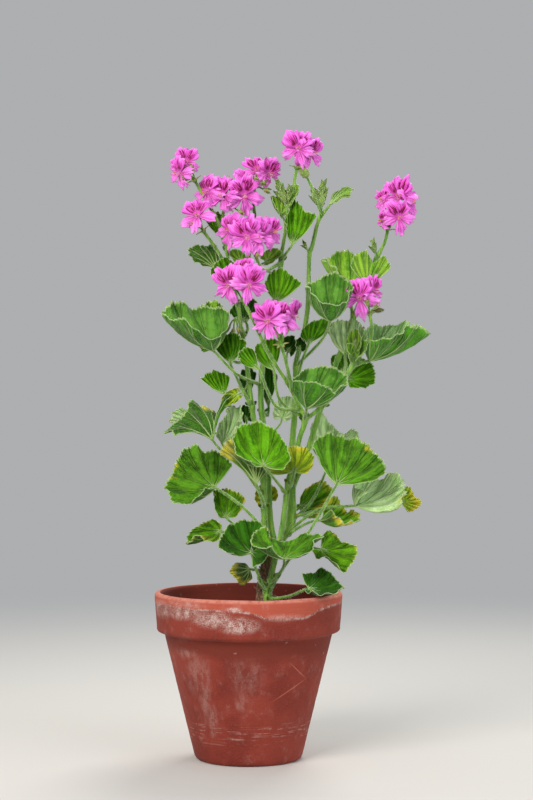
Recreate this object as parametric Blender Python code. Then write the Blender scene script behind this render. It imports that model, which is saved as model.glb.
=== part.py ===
"""Potted regal pelargonium in flower.

A round terracotta pot filled with potting mix, a short woody trunk, green branching stems, separate
fan-shaped leaves on their stalks, umbels of pink flowers, and an unopened bud. The pot's axis is Z, the
pot stands on z = 0 and the plant leans a little towards +X. Tables and sizes are in millimetres.
"""

import math

import bmesh
import bpy
from mathutils import Vector

MM = 0.001

# Pot: outer and inner radii, heights and roundings
POT_HEIGHT = 166.0
RIM_TOP_RADIUS = 94.0
RIM_FOOT_RADIUS = 91.5
RIM_BAND = 39.0
BODY_TOP_RADIUS = 84.0
BASE_RADIUS = 53.5
WALL = 8.0
LIP = 7.0
FLOOR = 12.0
ROUNDING = 3.0
POT_SIDES = 40
DRAIN_RADIUS = 5.0
DRAIN_CIRCLE = 26.0
DRAIN_HOLES = 3

# Potting mix
MIX_LEVEL = 138.0
CLEARANCE = 0.45

# Plant
LEAF_THICKNESS = 1.2
STALK_RADIUS = 1.25
PEDUNCLE_RADIUS = 1.5
PEDICEL_RADIUS = 0.9
PETAL_THICKNESS = 1.1
STEM_SIDES = 8
STALK_SIDES = 5

# Principled BSDF colour (linear), roughness
FINISHES = {
    "terracotta": ((0.270, 0.050, 0.030), 0.85),
    "potting_mix": ((0.030, 0.018, 0.011), 0.95),
    "bark": ((0.105, 0.055, 0.030), 0.85),
    "stem_green": ((0.115, 0.215, 0.030), 0.55),
    "leaf_green": ((0.070, 0.190, 0.012), 0.50),
    "leaf_pale": ((0.200, 0.360, 0.110), 0.60),
    "leaf_ageing": ((0.300, 0.330, 0.030), 0.60),
    "petal_pink": ((0.930, 0.220, 0.820), 0.60),
    "bud_green": ((0.280, 0.420, 0.070), 0.60),
}
LEAF_FINISH = {
    "bright": "leaf_green", "mid": "leaf_green", "cup": "leaf_green", "dark": "leaf_green",
    "sheen": "leaf_green", "pale": "leaf_pale", "yellow": "leaf_ageing", "orange": "leaf_ageing",
}

# Centre lines of the woody trunk and the green stems: x, y, z and radius, from the bottom up
STEM_PATHS = {
    "trunk": [(13, 0, 156, 6.2), (14, 0, 172, 5.6), (16, 0, 188, 5.2), (21, 0, 203, 5.0),
        (22, 0, 208, 4.6)],
    "left": [(19, -5, 214, 3.5), (16, -6, 232, 3.3), (15, -6, 257, 3.2), (14, -5, 287, 3.2),
        (8, -3, 317, 3.0), (5, 0, 338, 2.8), (2, 2, 359, 2.6), (-1, 4, 385, 2.4), (-6, 6, 417, 2.2),
        (-10, 6, 447, 2.0), (-16, 4, 472, 1.9), (-20, 3, 489, 1.8), (-22, 2, 513, 1.7)],
    "centre": [(25, 3, 216, 3.8), (22, 5, 232, 3.6), (20, 6, 257, 3.6), (19, 7, 287, 3.6),
        (17, 8, 317, 3.4), (14, 9, 337, 3.2), (12, 10, 361, 3.0), (14, 10, 392, 2.6),
        (19, 8, 427, 2.4), (27, 6, 462, 2.2), (32, 6, 491, 2.1), (33, 6, 504, 2.0), (36, 5, 521, 1.9),
        (39, 4, 548, 1.8)],
    "rear": [(32, 0, 217, 4.4), (40, 1, 229, 4.6), (43, 2, 245, 4.8), (43, 3, 262, 4.6),
        (43, 5, 287, 3.8), (44, 6, 317, 3.4), (46, 6, 343, 3.2), (47, 7, 377, 3.0), (48, 7, 397, 2.8),
        (54, 8, 417, 2.7), (59, 8, 447, 2.6), (60, 8, 472, 2.4), (61, 7, 503, 2.3), (64, 6, 512, 2.2),
        (68, 6, 530, 2.0), (72, 5, 543, 1.9)],
    "right_rear": [(43, 4, 267, 3.2), (49, 10, 281, 3.2), (60, 14, 308, 3.2), (72, 14, 347, 3.1),
        (86, 12, 389, 2.9), (97, 11, 416, 2.8), (105, 11, 439, 2.6), (114, 10, 463, 2.4),
        (122, 8, 484, 2.2), (129, 6, 502, 2.0)],
    "front": [(19, -14, 156, 4.2), (19, -14, 168, 3.8), (22, -14, 180, 3.2), (27, -14, 202, 3.0),
        (33, -13, 229, 3.0), (37, -12, 258, 2.9), (40, -12, 278, 2.9), (45, -12, 293, 2.8),
        (50, -12, 317, 2.8), (56, -12, 337, 2.9), (51, -13, 349, 2.4), (45, -14, 363, 2.2),
        (39, -15, 374, 2.0)],
    "right": [(56, -12, 337, 2.4), (65, -11, 344, 2.2), (78, -10, 355, 2.2), (87, -9, 365, 2.1),
        (97, -8, 381, 2.1), (105, -7, 393, 2.0), (110, -7, 400, 2.0)],
}

# Which centre lines are grown together as one stem
STEMS = {
    "woody_trunk": ["trunk"],
    "stem_left": ["left"],
    "stem_centre": ["centre"],
    "stem_rear": ["rear", "right_rear"],
    "stem_front": ["front", "right"],
}

# Leaves: name, the stem it grows from and the height there, points its stalk passes, the blade's base,
# how deeply it is dished, its tone, and its margin, anticlockwise as seen from the upper side
LEAVES = [
    ("leaf_01", "centre", 372, [(-12, -15, 383)], (-35, -22, 406), 0.12, "cup",
     [(-26, -32, 420), (-20, -10, 443), (-33, 8, 449), (-54, 12, 453), (-74, 0, 454), (-83, -24, 445),
      (-63, -46, 433), (-42, -44, 419)]),
    ("leaf_02", "left", 398, [(-13, 18, 395)], (-28, 34, 411), 0.1, "bright",
     [(-25, 44, 453), (-38, 38, 458), (-52, 30, 449), (-56, 24, 426), (-47, 26, 405)]),
    ("leaf_03", "left", 350, [(-9, -6, 373)], (-18, -16, 393), 0.12, "mid",
     [(-2, -22, 414), (-14, -12, 424), (-28, -6, 420), (-34, -10, 409)]),
    ("leaf_04", "centre", 312, [(-9, 12, 333)], (-24, 6, 363), 0.1, "bright",
     [(-19, 12, 380), (-27, 18, 385), (-37, 18, 386), (-49, 6, 379)]),
    ("leaf_05", "left", 262, [(-8, -16, 292), (-22, -24, 302)], (-35, -30, 317), 0.14, "yellow",
     [(-72, -48, 324), (-83, -38, 325), (-63, -30, 343), (-57, -22, 357), (-44, -12, 349),
      (-28, -2, 346), (-9, 6, 369)]),
    ("leaf_06", "left", 280, [(-15, 2, 301)], (-27, -2, 314), 0.14, "pale",
     [(-10, -14, 333), (-6, -4, 349), (-17, 6, 350), (-28, 8, 336), (-33, 2, 321)]),
    ("leaf_08", "front", 264, [(26, -34, 279)], (15, -50, 293), 0.16, "bright",
     [(34, -64, 291), (41, -56, 302), (35, -42, 317), (26, -36, 328), (6, -32, 336), (-10, -38, 331),
      (-15, -48, 320), (-8, -62, 303), (2, -64, 297)]),
    ("leaf_09", "left", 228, [(-6, -1, 250)], (-34, 2, 270), 0.12, "sheen",
     [(-16, 22, 293), (-30, 28, 303), (-44, 26, 304), (-56, 30, 314), (-68, 24, 304), (-75, 12, 289),
      (-84, -2, 269), (-73, -14, 255), (-54, -18, 259), (-42, -12, 269)]),
    ("leaf_10", "left", 250, [(14, -26, 258)], (8, -38, 274), 0.12, "orange",
     [(-29, -32, 305), (-20, -24, 318), (-6, -18, 320), (13, -26, 312), (19, -34, 288)]),
    ("leaf_12", "front", 276, [(42, -19, 272)], (45, -26, 286), 0.12, "yellow",
     [(58, -36, 285), (65, -30, 296), (60, -22, 308), (49, -18, 311), (33, -10, 310), (21, -14, 298),
      (18, -22, 283)]),
    ("leaf_13", "front", 166, [(35, -22, 192), (62, -40, 232)], (86, -54, 275), 0.1, "sheen",
     [(124, -56, 281), (134, -50, 290), (122, -34, 309), (98, -24, 321), (80, -24, 323),
      (65, -36, 317), (67, -46, 301)]),
    ("leaf_14", "rear", 236, [(64, 15, 256)], (80, 22, 290), 0.12, "pale",
     [(113, 30, 313), (107, 36, 328), (93, 34, 323), (81, 42, 337), (72, 40, 344), (63, 34, 328),
      (61, 26, 311)]),
    ("leaf_16", "rear", 228, [(71, -9, 248)], (106, -26, 253), 0.14, "pale",
     [(136, -52, 253), (148, -48, 254), (154, -38, 265), (148, -22, 283), (129, -10, 279),
      (111, -14, 279), (105, -28, 272), (116, -44, 267)]),
    ("leaf_17", "rear", 240, [(82, 14, 248), (130, 4, 253)], (152, -4, 255), 0.04, "yellow",
     [(158, -14, 246), (166, -12, 248), (172, -6, 256), (166, 0, 261), (161, 6, 271), (155, 7, 268)]),
    ("leaf_18", "rear", 221, [(57, -10, 234)], (71, -18, 238), 0.14, "orange",
     [(80, -34, 249), (88, -38, 243), (97, -38, 236), (107, -30, 238), (110, -20, 245), (99, -8, 246),
      (86, 0, 260), (74, -6, 249)]),
    ("leaf_19", "rear", 250, [(46, 22, 244)], (51, 24, 248), 0.08, "yellow",
     [(55, 16, 239), (69, 22, 237), (78, 28, 251), (85, 32, 266), (74, 36, 274), (60, 36, 269),
      (52, 30, 258)]),
    ("leaf_20", "front", 216, [(51, -22, 213)], (71, -28, 210), 0.1, "yellow",
     [(62, -34, 212), (67, -40, 202), (76, -42, 203), (85, -46, 198), (95, -50, 191), (104, -48, 200),
      (106, -40, 215), (93, -28, 216), (86, -20, 225), (79, -18, 228), (72, -20, 222)]),
    ("leaf_21", "front", 170, [(34, -34, 192)], (35, -48, 202), 0.06, "sheen",
     [(48, -68, 207), (62, -68, 213), (71, -60, 226), (58, -44, 227), (43, -36, 219), (32, -34, 219),
      (21, -40, 224), (13, -48, 232), (4, -62, 225), (10, -72, 215), (22, -72, 215)]),
    ("leaf_22", "front", 163, [(7, -26, 191)], (3, -34, 207), 0.12, "dark",
     [(4, -48, 194), (13, -46, 198), (21, -36, 206), (22, -22, 219), (18, -12, 229), (8, -8, 236),
      (-4, -8, 239), (-17, -12, 234), (-26, -22, 224), (-29, -36, 213), (-16, -46, 205)]),
    ("leaf_23", "trunk", 196, [(-5, 6, 211)], (-27, 0, 226), 0.1, "yellow",
     [(-27, 4, 232), (-36, 6, 237), (-48, 4, 233), (-59, 6, 224), (-62, 0, 214), (-49, -14, 222),
      (-40, -20, 217), (-29, -16, 217)]),
    ("leaf_25", "left", 214, [(-1, 9, 222)], (-23, 8, 239), 0.12, "yellow",
     [(-13, 0, 240), (-4, 2, 253), (-6, 10, 261), (-21, 20, 267), (-35, 20, 266), (-34, 6, 251),
      (-30, -2, 240)]),
    ("leaf_26", "trunk", 186, [], (1, -2, 188), 0.1, "orange",
     [(4, -4, 179), (-6, -10, 173), (-13, -16, 180), (-18, -18, 188), (-13, -12, 195), (-3, -4, 194)]),
    ("leaf_28", "front", 159, [(41, -30, 164)], (59, -44, 173), 0.1, "dark",
     [(53, -52, 174), (59, -64, 170), (67, -72, 170), (79, -74, 173), (90, -68, 173), (93, -52, 176),
      (82, -34, 185), (71, -24, 192), (64, -26, 187), (52, -34, 186)]),
    ("leaf_29", "left", 466, [(-24, 8, 479)], (-33, 12, 488), 0.1, "bright",
     [(-46, 4, 492), (-60, 2, 501), (-59, 6, 510), (-47, 16, 513), (-35, 24, 513), (-28, 26, 503)]),
    ("leaf_31", "left", 452, [(-16, -10, 466)], (-18, -16, 475), 0.1, "mid",
     [(-14, -12, 493), (-23, -8, 499), (-32, -12, 494), (-38, -20, 483), (-31, -24, 474)]),
    ("leaf_33", "centre", 436, [(24, -12, 440)], (28, -20, 454), 0.12, "bright",
     [(52, -22, 473), (43, -14, 481), (32, -10, 488), (22, -12, 484), (15, -20, 470)]),
    ("leaf_34", "left", 420, [(-1, 14, 428)], (-3, 20, 436), 0.12, "dark",
     [(11, 24, 452), (3, 30, 461), (-9, 28, 458), (-19, 20, 448), (-14, 14, 438)]),
    ("leaf_36", "front", 348, [(27, -26, 351)], (10, -30, 388), 0.12, "bright",
     [(5, -30, 407), (-2, -28, 409), (-10, -32, 403), (-8, -38, 394)]),
    ("leaf_37", "front", 340, [(31, -14, 357)], (25, -20, 387), 0.12, "bright",
     [(32, -18, 407), (27, -14, 417), (15, -14, 417), (6, -20, 408), (9, -26, 396)]),
    ("leaf_40", "rear", 368, [(53, -8, 395)], (60, -16, 413), 0.12, "mid",
     [(85, -12, 431), (76, -6, 438), (65, -6, 436), (53, -12, 427), (52, -18, 418)]),
    ("leaf_41", "rear", 392, [(73, -10, 417)], (80, -42, 434), 0.14, "cup",
     [(97, -50, 452), (102, -34, 469), (86, -22, 482), (63, -30, 474), (55, -42, 467), (66, -56, 458),
      (83, -62, 448)]),
    ("leaf_42", "right_rear", 440, [], (101, 12, 468), 0.14, "bright",
     [(111, 4, 476), (118, 18, 491), (107, 30, 507), (93, 32, 508), (81, 22, 502), (75, 12, 498),
      (87, -2, 488), (100, -4, 476)]),
    ("leaf_43", "right_rear", 466, [], (118, -12, 472), 0.1, "mid",
     [(142, -14, 488), (136, -4, 500), (125, -6, 495), (116, -2, 506), (104, -6, 500), (102, -12, 490)]),
    ("leaf_47", "right", 392, [], (120, -6, 396), 0.12, "sheen",
     [(120, -26, 416), (135, -32, 416), (146, -24, 424), (158, -18, 428), (177, -6, 428),
      (166, 6, 433), (146, 16, 433), (125, 14, 433), (114, 2, 423)]),
    ("leaf_48", "right", 380, [(97, -4, 391)], (96, -10, 403), 0.12, "pale",
     [(112, -20, 412), (120, -6, 427), (108, 6, 436), (96, 6, 438), (80, -8, 429), (87, -22, 418),
      (100, -26, 410)]),
    ("leaf_51", "right", 366, [(96, 6, 371)], (95, 16, 386), 0.1, "mid",
     [(110, 20, 395), (109, 26, 405), (96, 28, 406), (84, 22, 401), (83, 16, 391)]),
    ("leaf_52", "right", 352, [(90, 18, 365)], (99, 26, 379), 0.1, "bright",
     [(102, 20, 369), (120, 22, 370), (128, 26, 377), (125, 32, 394), (113, 36, 400), (102, 34, 396)]),
    ("leaf_54", "front", 338, [], (57, -40, 349), 0.14, "cup",
     [(86, -54, 364), (96, -44, 373), (95, -34, 383), (80, -26, 389), (65, -26, 390), (54, -32, 386),
      (43, -46, 377), (56, -58, 376), (69, -60, 372)]),
    ("leaf_55", "left", 352, [(0, 24, 353)], (-1, 30, 360), 0.1, "dark",
     [(8, 34, 383), (1, 38, 390), (-9, 36, 385), (-10, 30, 369)]),
    ("leaf_56", "centre", 346, [(19, 22, 341)], (20, 28, 351), 0.1, "dark",
     [(29, 30, 381), (20, 34, 394), (11, 32, 388), (12, 28, 367)]),
    ("leaf_61", "rear", 541, [], (81, 2, 552), 0.08, "bright",
     [(85, 10, 565), (96, 8, 570), (105, 0, 568), (98, -8, 560), (88, -10, 554)]),
    ("leaf_62", "centre", 497, [(38, -8, 504)], (44, -12, 512), 0.12, "bright",
     [(67, -18, 542), (57, -8, 544), (52, -4, 551), (44, 0, 558), (38, -6, 543), (37, -14, 525)]),
]

# Flower heads: name, stem and height, points the peduncle passes, its end, and each flower's centre,
# the direction it faces and its radius
FLOWER_HEADS = [
    ("flower_head_01", "centre", 548, [(43, 2, 557), (46, -1, 577)], (48, -2, 589), [
        ((49, -14, 607), (-0.15, -1, 0.05), 15),
        ((63, -4, 604), (0.85, -0.5, -0.05), 15),
    ]),
    ("flower_head_02", "left", 512, [(-27, 4, 525), (-35, 4, 544), (-44, 4, 559)], (-54, 3, 577), [
        ((-69, -6, 584), (-0.8, -0.6, -0.1), 14.5),
        ((-61, 4, 598), (-0.62, 0.2, 0.72), 14.5),
    ]),
    ("flower_head_03", "centre", 500, [(13, 26, 523), (5, 26, 551)], (6, 24, 574), [
        ((8, 16, 591), (0.05, -0.8, 0.6), 15.5),
        ((21, 24, 586), (0.8, -0.3, -0.5), 14.5),
    ]),
    ("flower_head_04", "left", 506, [(-24, 12, 532), (-26, 12, 544)], (-23, 10, 553), [
        ((-39, 2, 567), (-0.85, -0.4, -0.35), 14.5),
        ((-27, -8, 562), (-0.35, -0.92, 0.1), 15.5),
        ((-9, -8, 562), (0.15, -0.98, 0), 16),
        ((-21, 10, 579), (-0.2, -0.1, 0.95), 14),
        ((-3, 4, 575), (0.7, -0.45, 0.5), 14.5),
    ]),
    ("flower_head_05", "left", 486, [(-27, -6, 499), (-34, -10, 510)], (-45, -12, 525), [
        ((-52, -18, 542), (-0.3, -0.8, 0.5), 16),
    ]),
    ("flower_head_06", "centre", 494, [(15, -26, 485), (7, -28, 499)], (3, -28, 509), [
        ((-14, -36, 525), (-0.6, -0.78, 0.05), 14.5),
        ((2, -26, 531), (0, -0.45, 0.9), 14),
        ((-2, -44, 517), (-0.1, -1, -0.05), 16),
        ((12, -42, 517), (0.3, -0.95, 0), 15.5),
        ((19, -30, 526), (0.75, -0.4, 0.5), 14),
    ]),
    ("flower_head_07", "front", 373, [(30, -22, 387), (17, -34, 408), (6, -44, 432)], (-5, -50, 454), [
        ((-20, -60, 468), (-0.45, -0.88, -0.1), 15.5),
        ((-5, -54, 480), (-0.05, -0.85, 0.5), 15.5),
        ((1, -66, 468), (0.2, -0.97, -0.1), 16),
    ]),
    ("flower_head_08", "front", 366, [(37, -34, 394)], (32, -46, 411), [
        ((18, -58, 434), (-0.3, -0.95, 0), 16),
        ((33, -52, 438), (0.25, -0.85, 0.45), 15.5),
        ((46, -46, 439), (0.9, -0.4, -0.1), 14.5),
    ]),
    ("flower_head_09", "right_rear", 501, [(137, 4, 517)], (139, 0, 528), [
        ((135, -2, 557), (-0.5, -0.5, 0.7), 13.5),
        ((148, -12, 557), (0.05, -0.97, 0.25), 15.5),
        ((162, -4, 553), (0.85, -0.45, 0), 14.5),
        ((148, -18, 539), (0.1, -0.9, -0.4), 14.5),
        ((132, -8, 535), (-0.75, -0.55, -0.35), 9),
    ]),
    ("flower_head_10", "right", 398, [(120, -14, 415), (122, -18, 428)], (120, -20, 442), [
        ((109, -30, 458), (-0.1, -0.98, 0.1), 16),
        ((125, -20, 464), (0.85, -0.45, 0.1), 14.5),
    ]),
]

# The unopened bud beside the topmost flowers
BUD_STALK = [(73, 3, 548), (65, 1, 566), (59, 0, 578)]
BUD_CENTRE = (55, 0, 586)
BUD_RADIUS = 5.2
BUD_LENGTH = 15.0


def finish(obj, name):
    """Gives the object its own material with the named finish."""
    colour, roughness = FINISHES[name]
    material = bpy.data.materials.new(obj.name)
    material.use_nodes = True
    shader = material.node_tree.nodes["Principled BSDF"]
    shader.inputs["Base Color"].default_value = (*colour, 1.0)
    shader.inputs["Roughness"].default_value = roughness
    material.diffuse_color = (*colour, 1.0)
    obj.data.materials.clear()
    obj.data.materials.append(material)
    return obj


def mesh_object(name, points, faces):
    """A mesh object from points in millimetres, with its faces turned outwards."""
    mesh = bpy.data.meshes.new(name)
    mesh.from_pydata([Vector(p) * MM for p in points], [], faces)
    obj = bpy.data.objects.new(name, mesh)
    bpy.context.collection.objects.link(obj)
    turn_outwards(mesh)
    return obj


def turn_outwards(mesh):
    shape = bmesh.new()
    shape.from_mesh(mesh)
    bmesh.ops.recalc_face_normals(shape, faces=shape.faces)
    if shape.calc_volume(signed=True) < 0:
        bmesh.ops.reverse_faces(shape, faces=shape.faces)
    shape.to_mesh(mesh)
    shape.free()


def combine(target, others, operation):
    """Joins or cuts the target with the others, which are used up."""
    for other in others:
        modifier = target.modifiers.new("combine", "BOOLEAN")
        modifier.operation = operation
        modifier.solver = "MANIFOLD"
        modifier.object = other
        graph = bpy.context.evaluated_depsgraph_get()
        result = bpy.data.meshes.new_from_object(target.evaluated_get(graph))
        target.modifiers.clear()
        old, target.data = target.data, result
        bpy.data.meshes.remove(old)
        bpy.data.objects.remove(other)
    target.data.name = target.name
    return target


def lathe(name, profile, sides):
    """A solid of revolution about Z from (radius, height) points that start and end on the axis."""
    points = [(0.0, 0.0, profile[0][1])]
    for radius, height in profile[1:-1]:
        for i in range(sides):
            turn = 2 * math.pi * i / sides
            points.append((radius * math.cos(turn), radius * math.sin(turn), height))
    points.append((0.0, 0.0, profile[-1][1]))
    faces = [(0, 1 + i, 1 + (i + 1) % sides) for i in range(sides)]
    rings = len(profile) - 2
    for ring in range(rings - 1):
        a, b = 1 + ring * sides, 1 + (ring + 1) * sides
        faces += [(a + i, b + i, b + (i + 1) % sides, a + (i + 1) % sides) for i in range(sides)]
    last = 1 + (rings - 1) * sides
    faces += [(last + i, len(points) - 1, last + (i + 1) % sides) for i in range(sides)]
    return mesh_object(name, points, faces)


def curve_through(points, steps):
    """Points along a smooth curve through the given ones, with this many steps between each two."""
    ends = [Vector(points[0]) * 2 - Vector(points[1]), Vector(points[-1]) * 2 - Vector(points[-2])]
    p = [ends[0], *map(Vector, points), ends[1]]
    curve = []
    for a, b, c, d in zip(p, p[1:], p[2:], p[3:]):
        for i in range(steps):
            t = i / steps
            curve.append(0.5 * (2 * b + (c - a) * t + (2 * a - 5 * b + 4 * c - d) * t * t
                                + (3 * b - a - 3 * c + d) * t ** 3))
    curve.append(p[-2])
    return curve


def tube(name, points, radii, sides):
    """A closed round tube along the points, turned as little as possible from ring to ring."""
    along = [(b - a).normalized() for a, b in zip(points, points[1:])]
    tangents = [along[0]] + [(a + b).normalized() for a, b in zip(along, along[1:])] + [along[-1]]
    side = tangents[0].orthogonal().normalized()
    verts = []
    for point, tangent, radius in zip(points, tangents, radii):
        side = (side - tangent * side.dot(tangent)).normalized()
        other = tangent.cross(side)
        for i in range(sides):
            turn = 2 * math.pi * i / sides
            verts.append(point + (side * math.cos(turn) + other * math.sin(turn)) * radius)
    faces = [tuple(range(sides)), tuple(range(len(verts) - sides, len(verts)))]
    for ring in range(len(points) - 1):
        a, b = ring * sides, (ring + 1) * sides
        faces += [(a + i, a + (i + 1) % sides, b + (i + 1) % sides, b + i) for i in range(sides)]
    return mesh_object(name, verts, faces)


def stem_at(path, height):
    """The centre, radius and direction of a stem at this height."""
    line = STEM_PATHS[path]
    for low, high in zip(line, line[1:]):
        if low[2] <= height <= high[2]:
            share = (height - low[2]) / (high[2] - low[2])
            here = Vector(low).lerp(Vector(high), share)
            return Vector(here[:3]), here[3], (Vector(high[:3]) - Vector(low[:3])).normalized()
    raise ValueError(f"{path} does not reach z = {height}")


def stalk_line(path, height, points, radius):
    """A curve from just outside the stem's side through the points."""
    centre, stem_radius, along = stem_at(path, height)
    towards = (Vector(points[0]) - centre).normalized()
    slant = towards.dot(along)
    side = (towards - along * slant).normalized()
    gap = stem_radius * 1.04 + CLEARANCE + radius * abs(slant)
    return curve_through([centre + side * gap, *points], 2 if len(points) > 1 else 1)


def build_pot():
    base_slope = (BODY_TOP_RADIUS - BASE_RADIUS) / (POT_HEIGHT - RIM_BAND)
    foot = POT_HEIGHT - RIM_BAND
    inner_top = RIM_TOP_RADIUS - LIP
    inner_foot = BODY_TOP_RADIUS - WALL + 6.0
    profile = [
        (0, 0),
        (BASE_RADIUS - ROUNDING, 0),
        (BASE_RADIUS - 0.8, 0.9),
        (BASE_RADIUS + base_slope * ROUNDING, ROUNDING),
        (BODY_TOP_RADIUS, foot - 2.0),
        (RIM_FOOT_RADIUS - 2.0, foot),
        (RIM_FOOT_RADIUS, foot + 2.5),
        (RIM_TOP_RADIUS, POT_HEIGHT - 3.0),
        (RIM_TOP_RADIUS - 1.0, POT_HEIGHT - 0.8),
        (RIM_TOP_RADIUS - 3.0, POT_HEIGHT),
        (inner_top + 2.0, POT_HEIGHT),
        (inner_top + 0.4, POT_HEIGHT - 1.2),
        (inner_top, POT_HEIGHT - 3.5),
        (inner_foot, foot - 4.0),
        (BASE_RADIUS - WALL + 1.5, FLOOR + 3.0),
        (BASE_RADIUS - WALL - 2.0, FLOOR),
        (0, FLOOR),
    ]
    pot = lathe("pot", profile, POT_SIDES)
    drains = []
    for i in range(DRAIN_HOLES):
        turn = 2 * math.pi * (i + 0.25) / DRAIN_HOLES
        x, y = DRAIN_CIRCLE * math.cos(turn), DRAIN_CIRCLE * math.sin(turn)
        ends = [Vector((x, y, -5.0)), Vector((x, y, FLOOR + 5.0))]
        drains.append(tube(f"drain_{i}", ends, [DRAIN_RADIUS] * 2, 16))
    return finish(combine(pot, drains, "DIFFERENCE"), "terracotta"), profile


def build_potting_mix(pot_profile):
    """Fills the pot to MIX_LEVEL, a hair inside its inner wall."""
    (high_r, high_z), (low_r, low_z), (heel_r, heel_z), (floor_r, floor_z) = pot_profile[-5:-1]
    share = (MIX_LEVEL - low_z) / (high_z - low_z)
    profile = [
        (0, floor_z + CLEARANCE),
        (floor_r - CLEARANCE, floor_z + CLEARANCE),
        (heel_r - CLEARANCE, heel_z + CLEARANCE),
        (low_r - CLEARANCE, low_z),
        (low_r + (high_r - low_r) * share - CLEARANCE, MIX_LEVEL),
        (0, MIX_LEVEL),
    ]
    return finish(lathe("potting_mix", profile, POT_SIDES), "potting_mix")


def build_stem(name, paths):
    parts = []
    for path in paths:
        line = curve_through([Vector(p[:3]) for p in STEM_PATHS[path]], 1)
        radii = [p[3] for p in STEM_PATHS[path]]
        if line[0].z < MIX_LEVEL + 30:
            line.insert(0, Vector((line[0].x, line[0].y, MIX_LEVEL + CLEARANCE)))
            radii.insert(0, radii[0] * 1.15)
        parts.append(tube(name if not parts else f"{name}_branch", line, radii, STEM_SIDES))
    stem = combine(parts[0], parts[1:], "UNION")
    return finish(stem, "bark" if name == "woody_trunk" else "stem_green")


def build_blade(name, base, margin, dish):
    """A thin closed fan from the base to a smooth margin, dished below its upper side."""
    base = Vector(base)
    rim = curve_through(margin, 2 if len(margin) < 7 else 1)
    points, rays = [base], []
    for i, here in enumerate(rim):
        ahead, behind = rim[min(i + 1, len(rim) - 1)], rim[max(i - 1, 0)]
        up = (behind - base).cross(ahead - base).normalized()
        reach = here - base
        middle = base + reach * 0.55 - up * dish * reach.length
        rays.append((len(points), len(points) + 1))
        points += [middle, here]
    faces = []
    for (a, b), (c, d) in zip(rays, rays[1:]):
        faces += [(0, a, c), (a, b, d, c)]
    surface = mesh_sheet(points, faces)
    return thicken(name, surface, faces, LEAF_THICKNESS)


def mesh_sheet(points, faces):
    """The points and their normals on an open sheet."""
    shape = bmesh.new()
    verts = [shape.verts.new(p) for p in points]
    for face in faces:
        shape.faces.new([verts[i] for i in face])
    shape.normal_update()
    sheet = [(v.co.copy(), v.normal.copy()) for v in verts]
    shape.free()
    return sheet


def thicken(name, sheet, faces, thickness):
    """A closed solid of even thickness about an open sheet."""
    count = len(sheet)
    points = [co + normal * thickness / 2 for co, normal in sheet]
    points += [co - normal * thickness / 2 for co, normal in sheet]
    solid = list(faces) + [tuple(i + count for i in reversed(face)) for face in faces]
    edges = {}
    for face in faces:
        for a, b in zip(face, (*face[1:], face[0])):
            edges[(a, b)] = edges.get((a, b), 0) + 1
    for a, b in edges:
        if (b, a) not in edges:
            solid.append((b, a, a + count, b + count))
    return mesh_object(name, points, solid)


def build_leaf(name, stem, height, via, base, dish, tone, margin):
    blade = build_blade(name, base, margin, dish)
    middle = sum((Vector(p) for p in margin), Vector()) / len(margin)
    inside = Vector(base).lerp(middle, 0.04)
    line = stalk_line(stem, height, [*via, base], STALK_RADIUS) + [inside]
    stalk = tube(f"{name}_stalk", line, [STALK_RADIUS] * len(line), STALK_SIDES)
    return finish(combine(blade, [stalk], "UNION"), LEAF_FINISH[tone])


def build_flower(name, centre, facing, radius):
    """A shallow five-lobed cup: two broad petals above and three narrow ones below."""
    centre, axis = Vector(centre), Vector(facing).normalized()
    up = Vector((0, 0, 1)) - axis * axis.z
    up = (up if up.length > 0.3 else Vector((0, -1, 0)) - axis * -axis.y).normalized()
    across = up.cross(axis)
    lobes = [(40, 1.0), (-40, 1.0), (125, 0.9), (180, 0.95), (-125, 0.9)]
    points, steps = [centre - axis * radius * 0.3], 15
    for i in range(steps):
        turn = 360.0 * i / steps
        reach = max(size * (1 - 0.45 * min(1.0, abs((turn - angle + 180) % 360 - 180) / 34) ** 2)
                    for angle, size in lobes)
        out = across * math.sin(math.radians(turn)) + up * math.cos(math.radians(turn))
        points.append(centre + out * radius * reach + axis * radius * 0.05)
    faces = [(0, 1 + i, 1 + (i + 1) % steps) for i in range(steps)]
    return thicken(name, mesh_sheet(points, faces), faces, PETAL_THICKNESS)


def build_flower_head(name, stem, height, via, umbel, flowers):
    """One peduncle, and from its end a pedicel to the back of each flower."""
    line = stalk_line(stem, height, [*via, umbel], PEDUNCLE_RADIUS)
    head = tube(name, line, [PEDUNCLE_RADIUS] * len(line), STALK_SIDES)
    parts = []
    for i, (centre, facing, radius) in enumerate(flowers):
        axis = Vector(facing).normalized()
        back = Vector(centre) - axis * radius * 0.3
        root = Vector(umbel) - (Vector(umbel) - line[-2]).normalized() * 0.8
        bend = back - axis * radius * 0.25
        route = [root, root.lerp(bend, 0.5), bend, back + axis * 0.4]
        thick = [PEDICEL_RADIUS * 1.1, PEDICEL_RADIUS, PEDICEL_RADIUS * 1.6, PEDICEL_RADIUS * 1.6]
        parts.append(tube(f"{name}_pedicel_{i}", route, thick, STALK_SIDES))
        parts.append(build_flower(f"{name}_flower_{i}", centre, facing, radius))
    return finish(combine(head, parts, "UNION"), "petal_pink")


def build_bud():
    centre = Vector(BUD_CENTRE)
    route = [*map(Vector, BUD_STALK), centre]
    line = curve_through(route, 2)
    stalk = tube("flower_bud", line, [PEDUNCLE_RADIUS * 0.8] * len(line), STALK_SIDES)
    axis = (centre - Vector(BUD_STALK[-1])).normalized()
    rings = [(-0.5, 0.35), (-0.3, 0.85), (0.0, 1.0), (0.3, 0.75), (0.5, 0.25)]
    body = tube("flower_bud_body", [centre + axis * BUD_LENGTH * along for along, _ in rings],
                [BUD_RADIUS * wide for _, wide in rings], 10)
    return finish(combine(stalk, [body], "UNION"), "bud_green")


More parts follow.
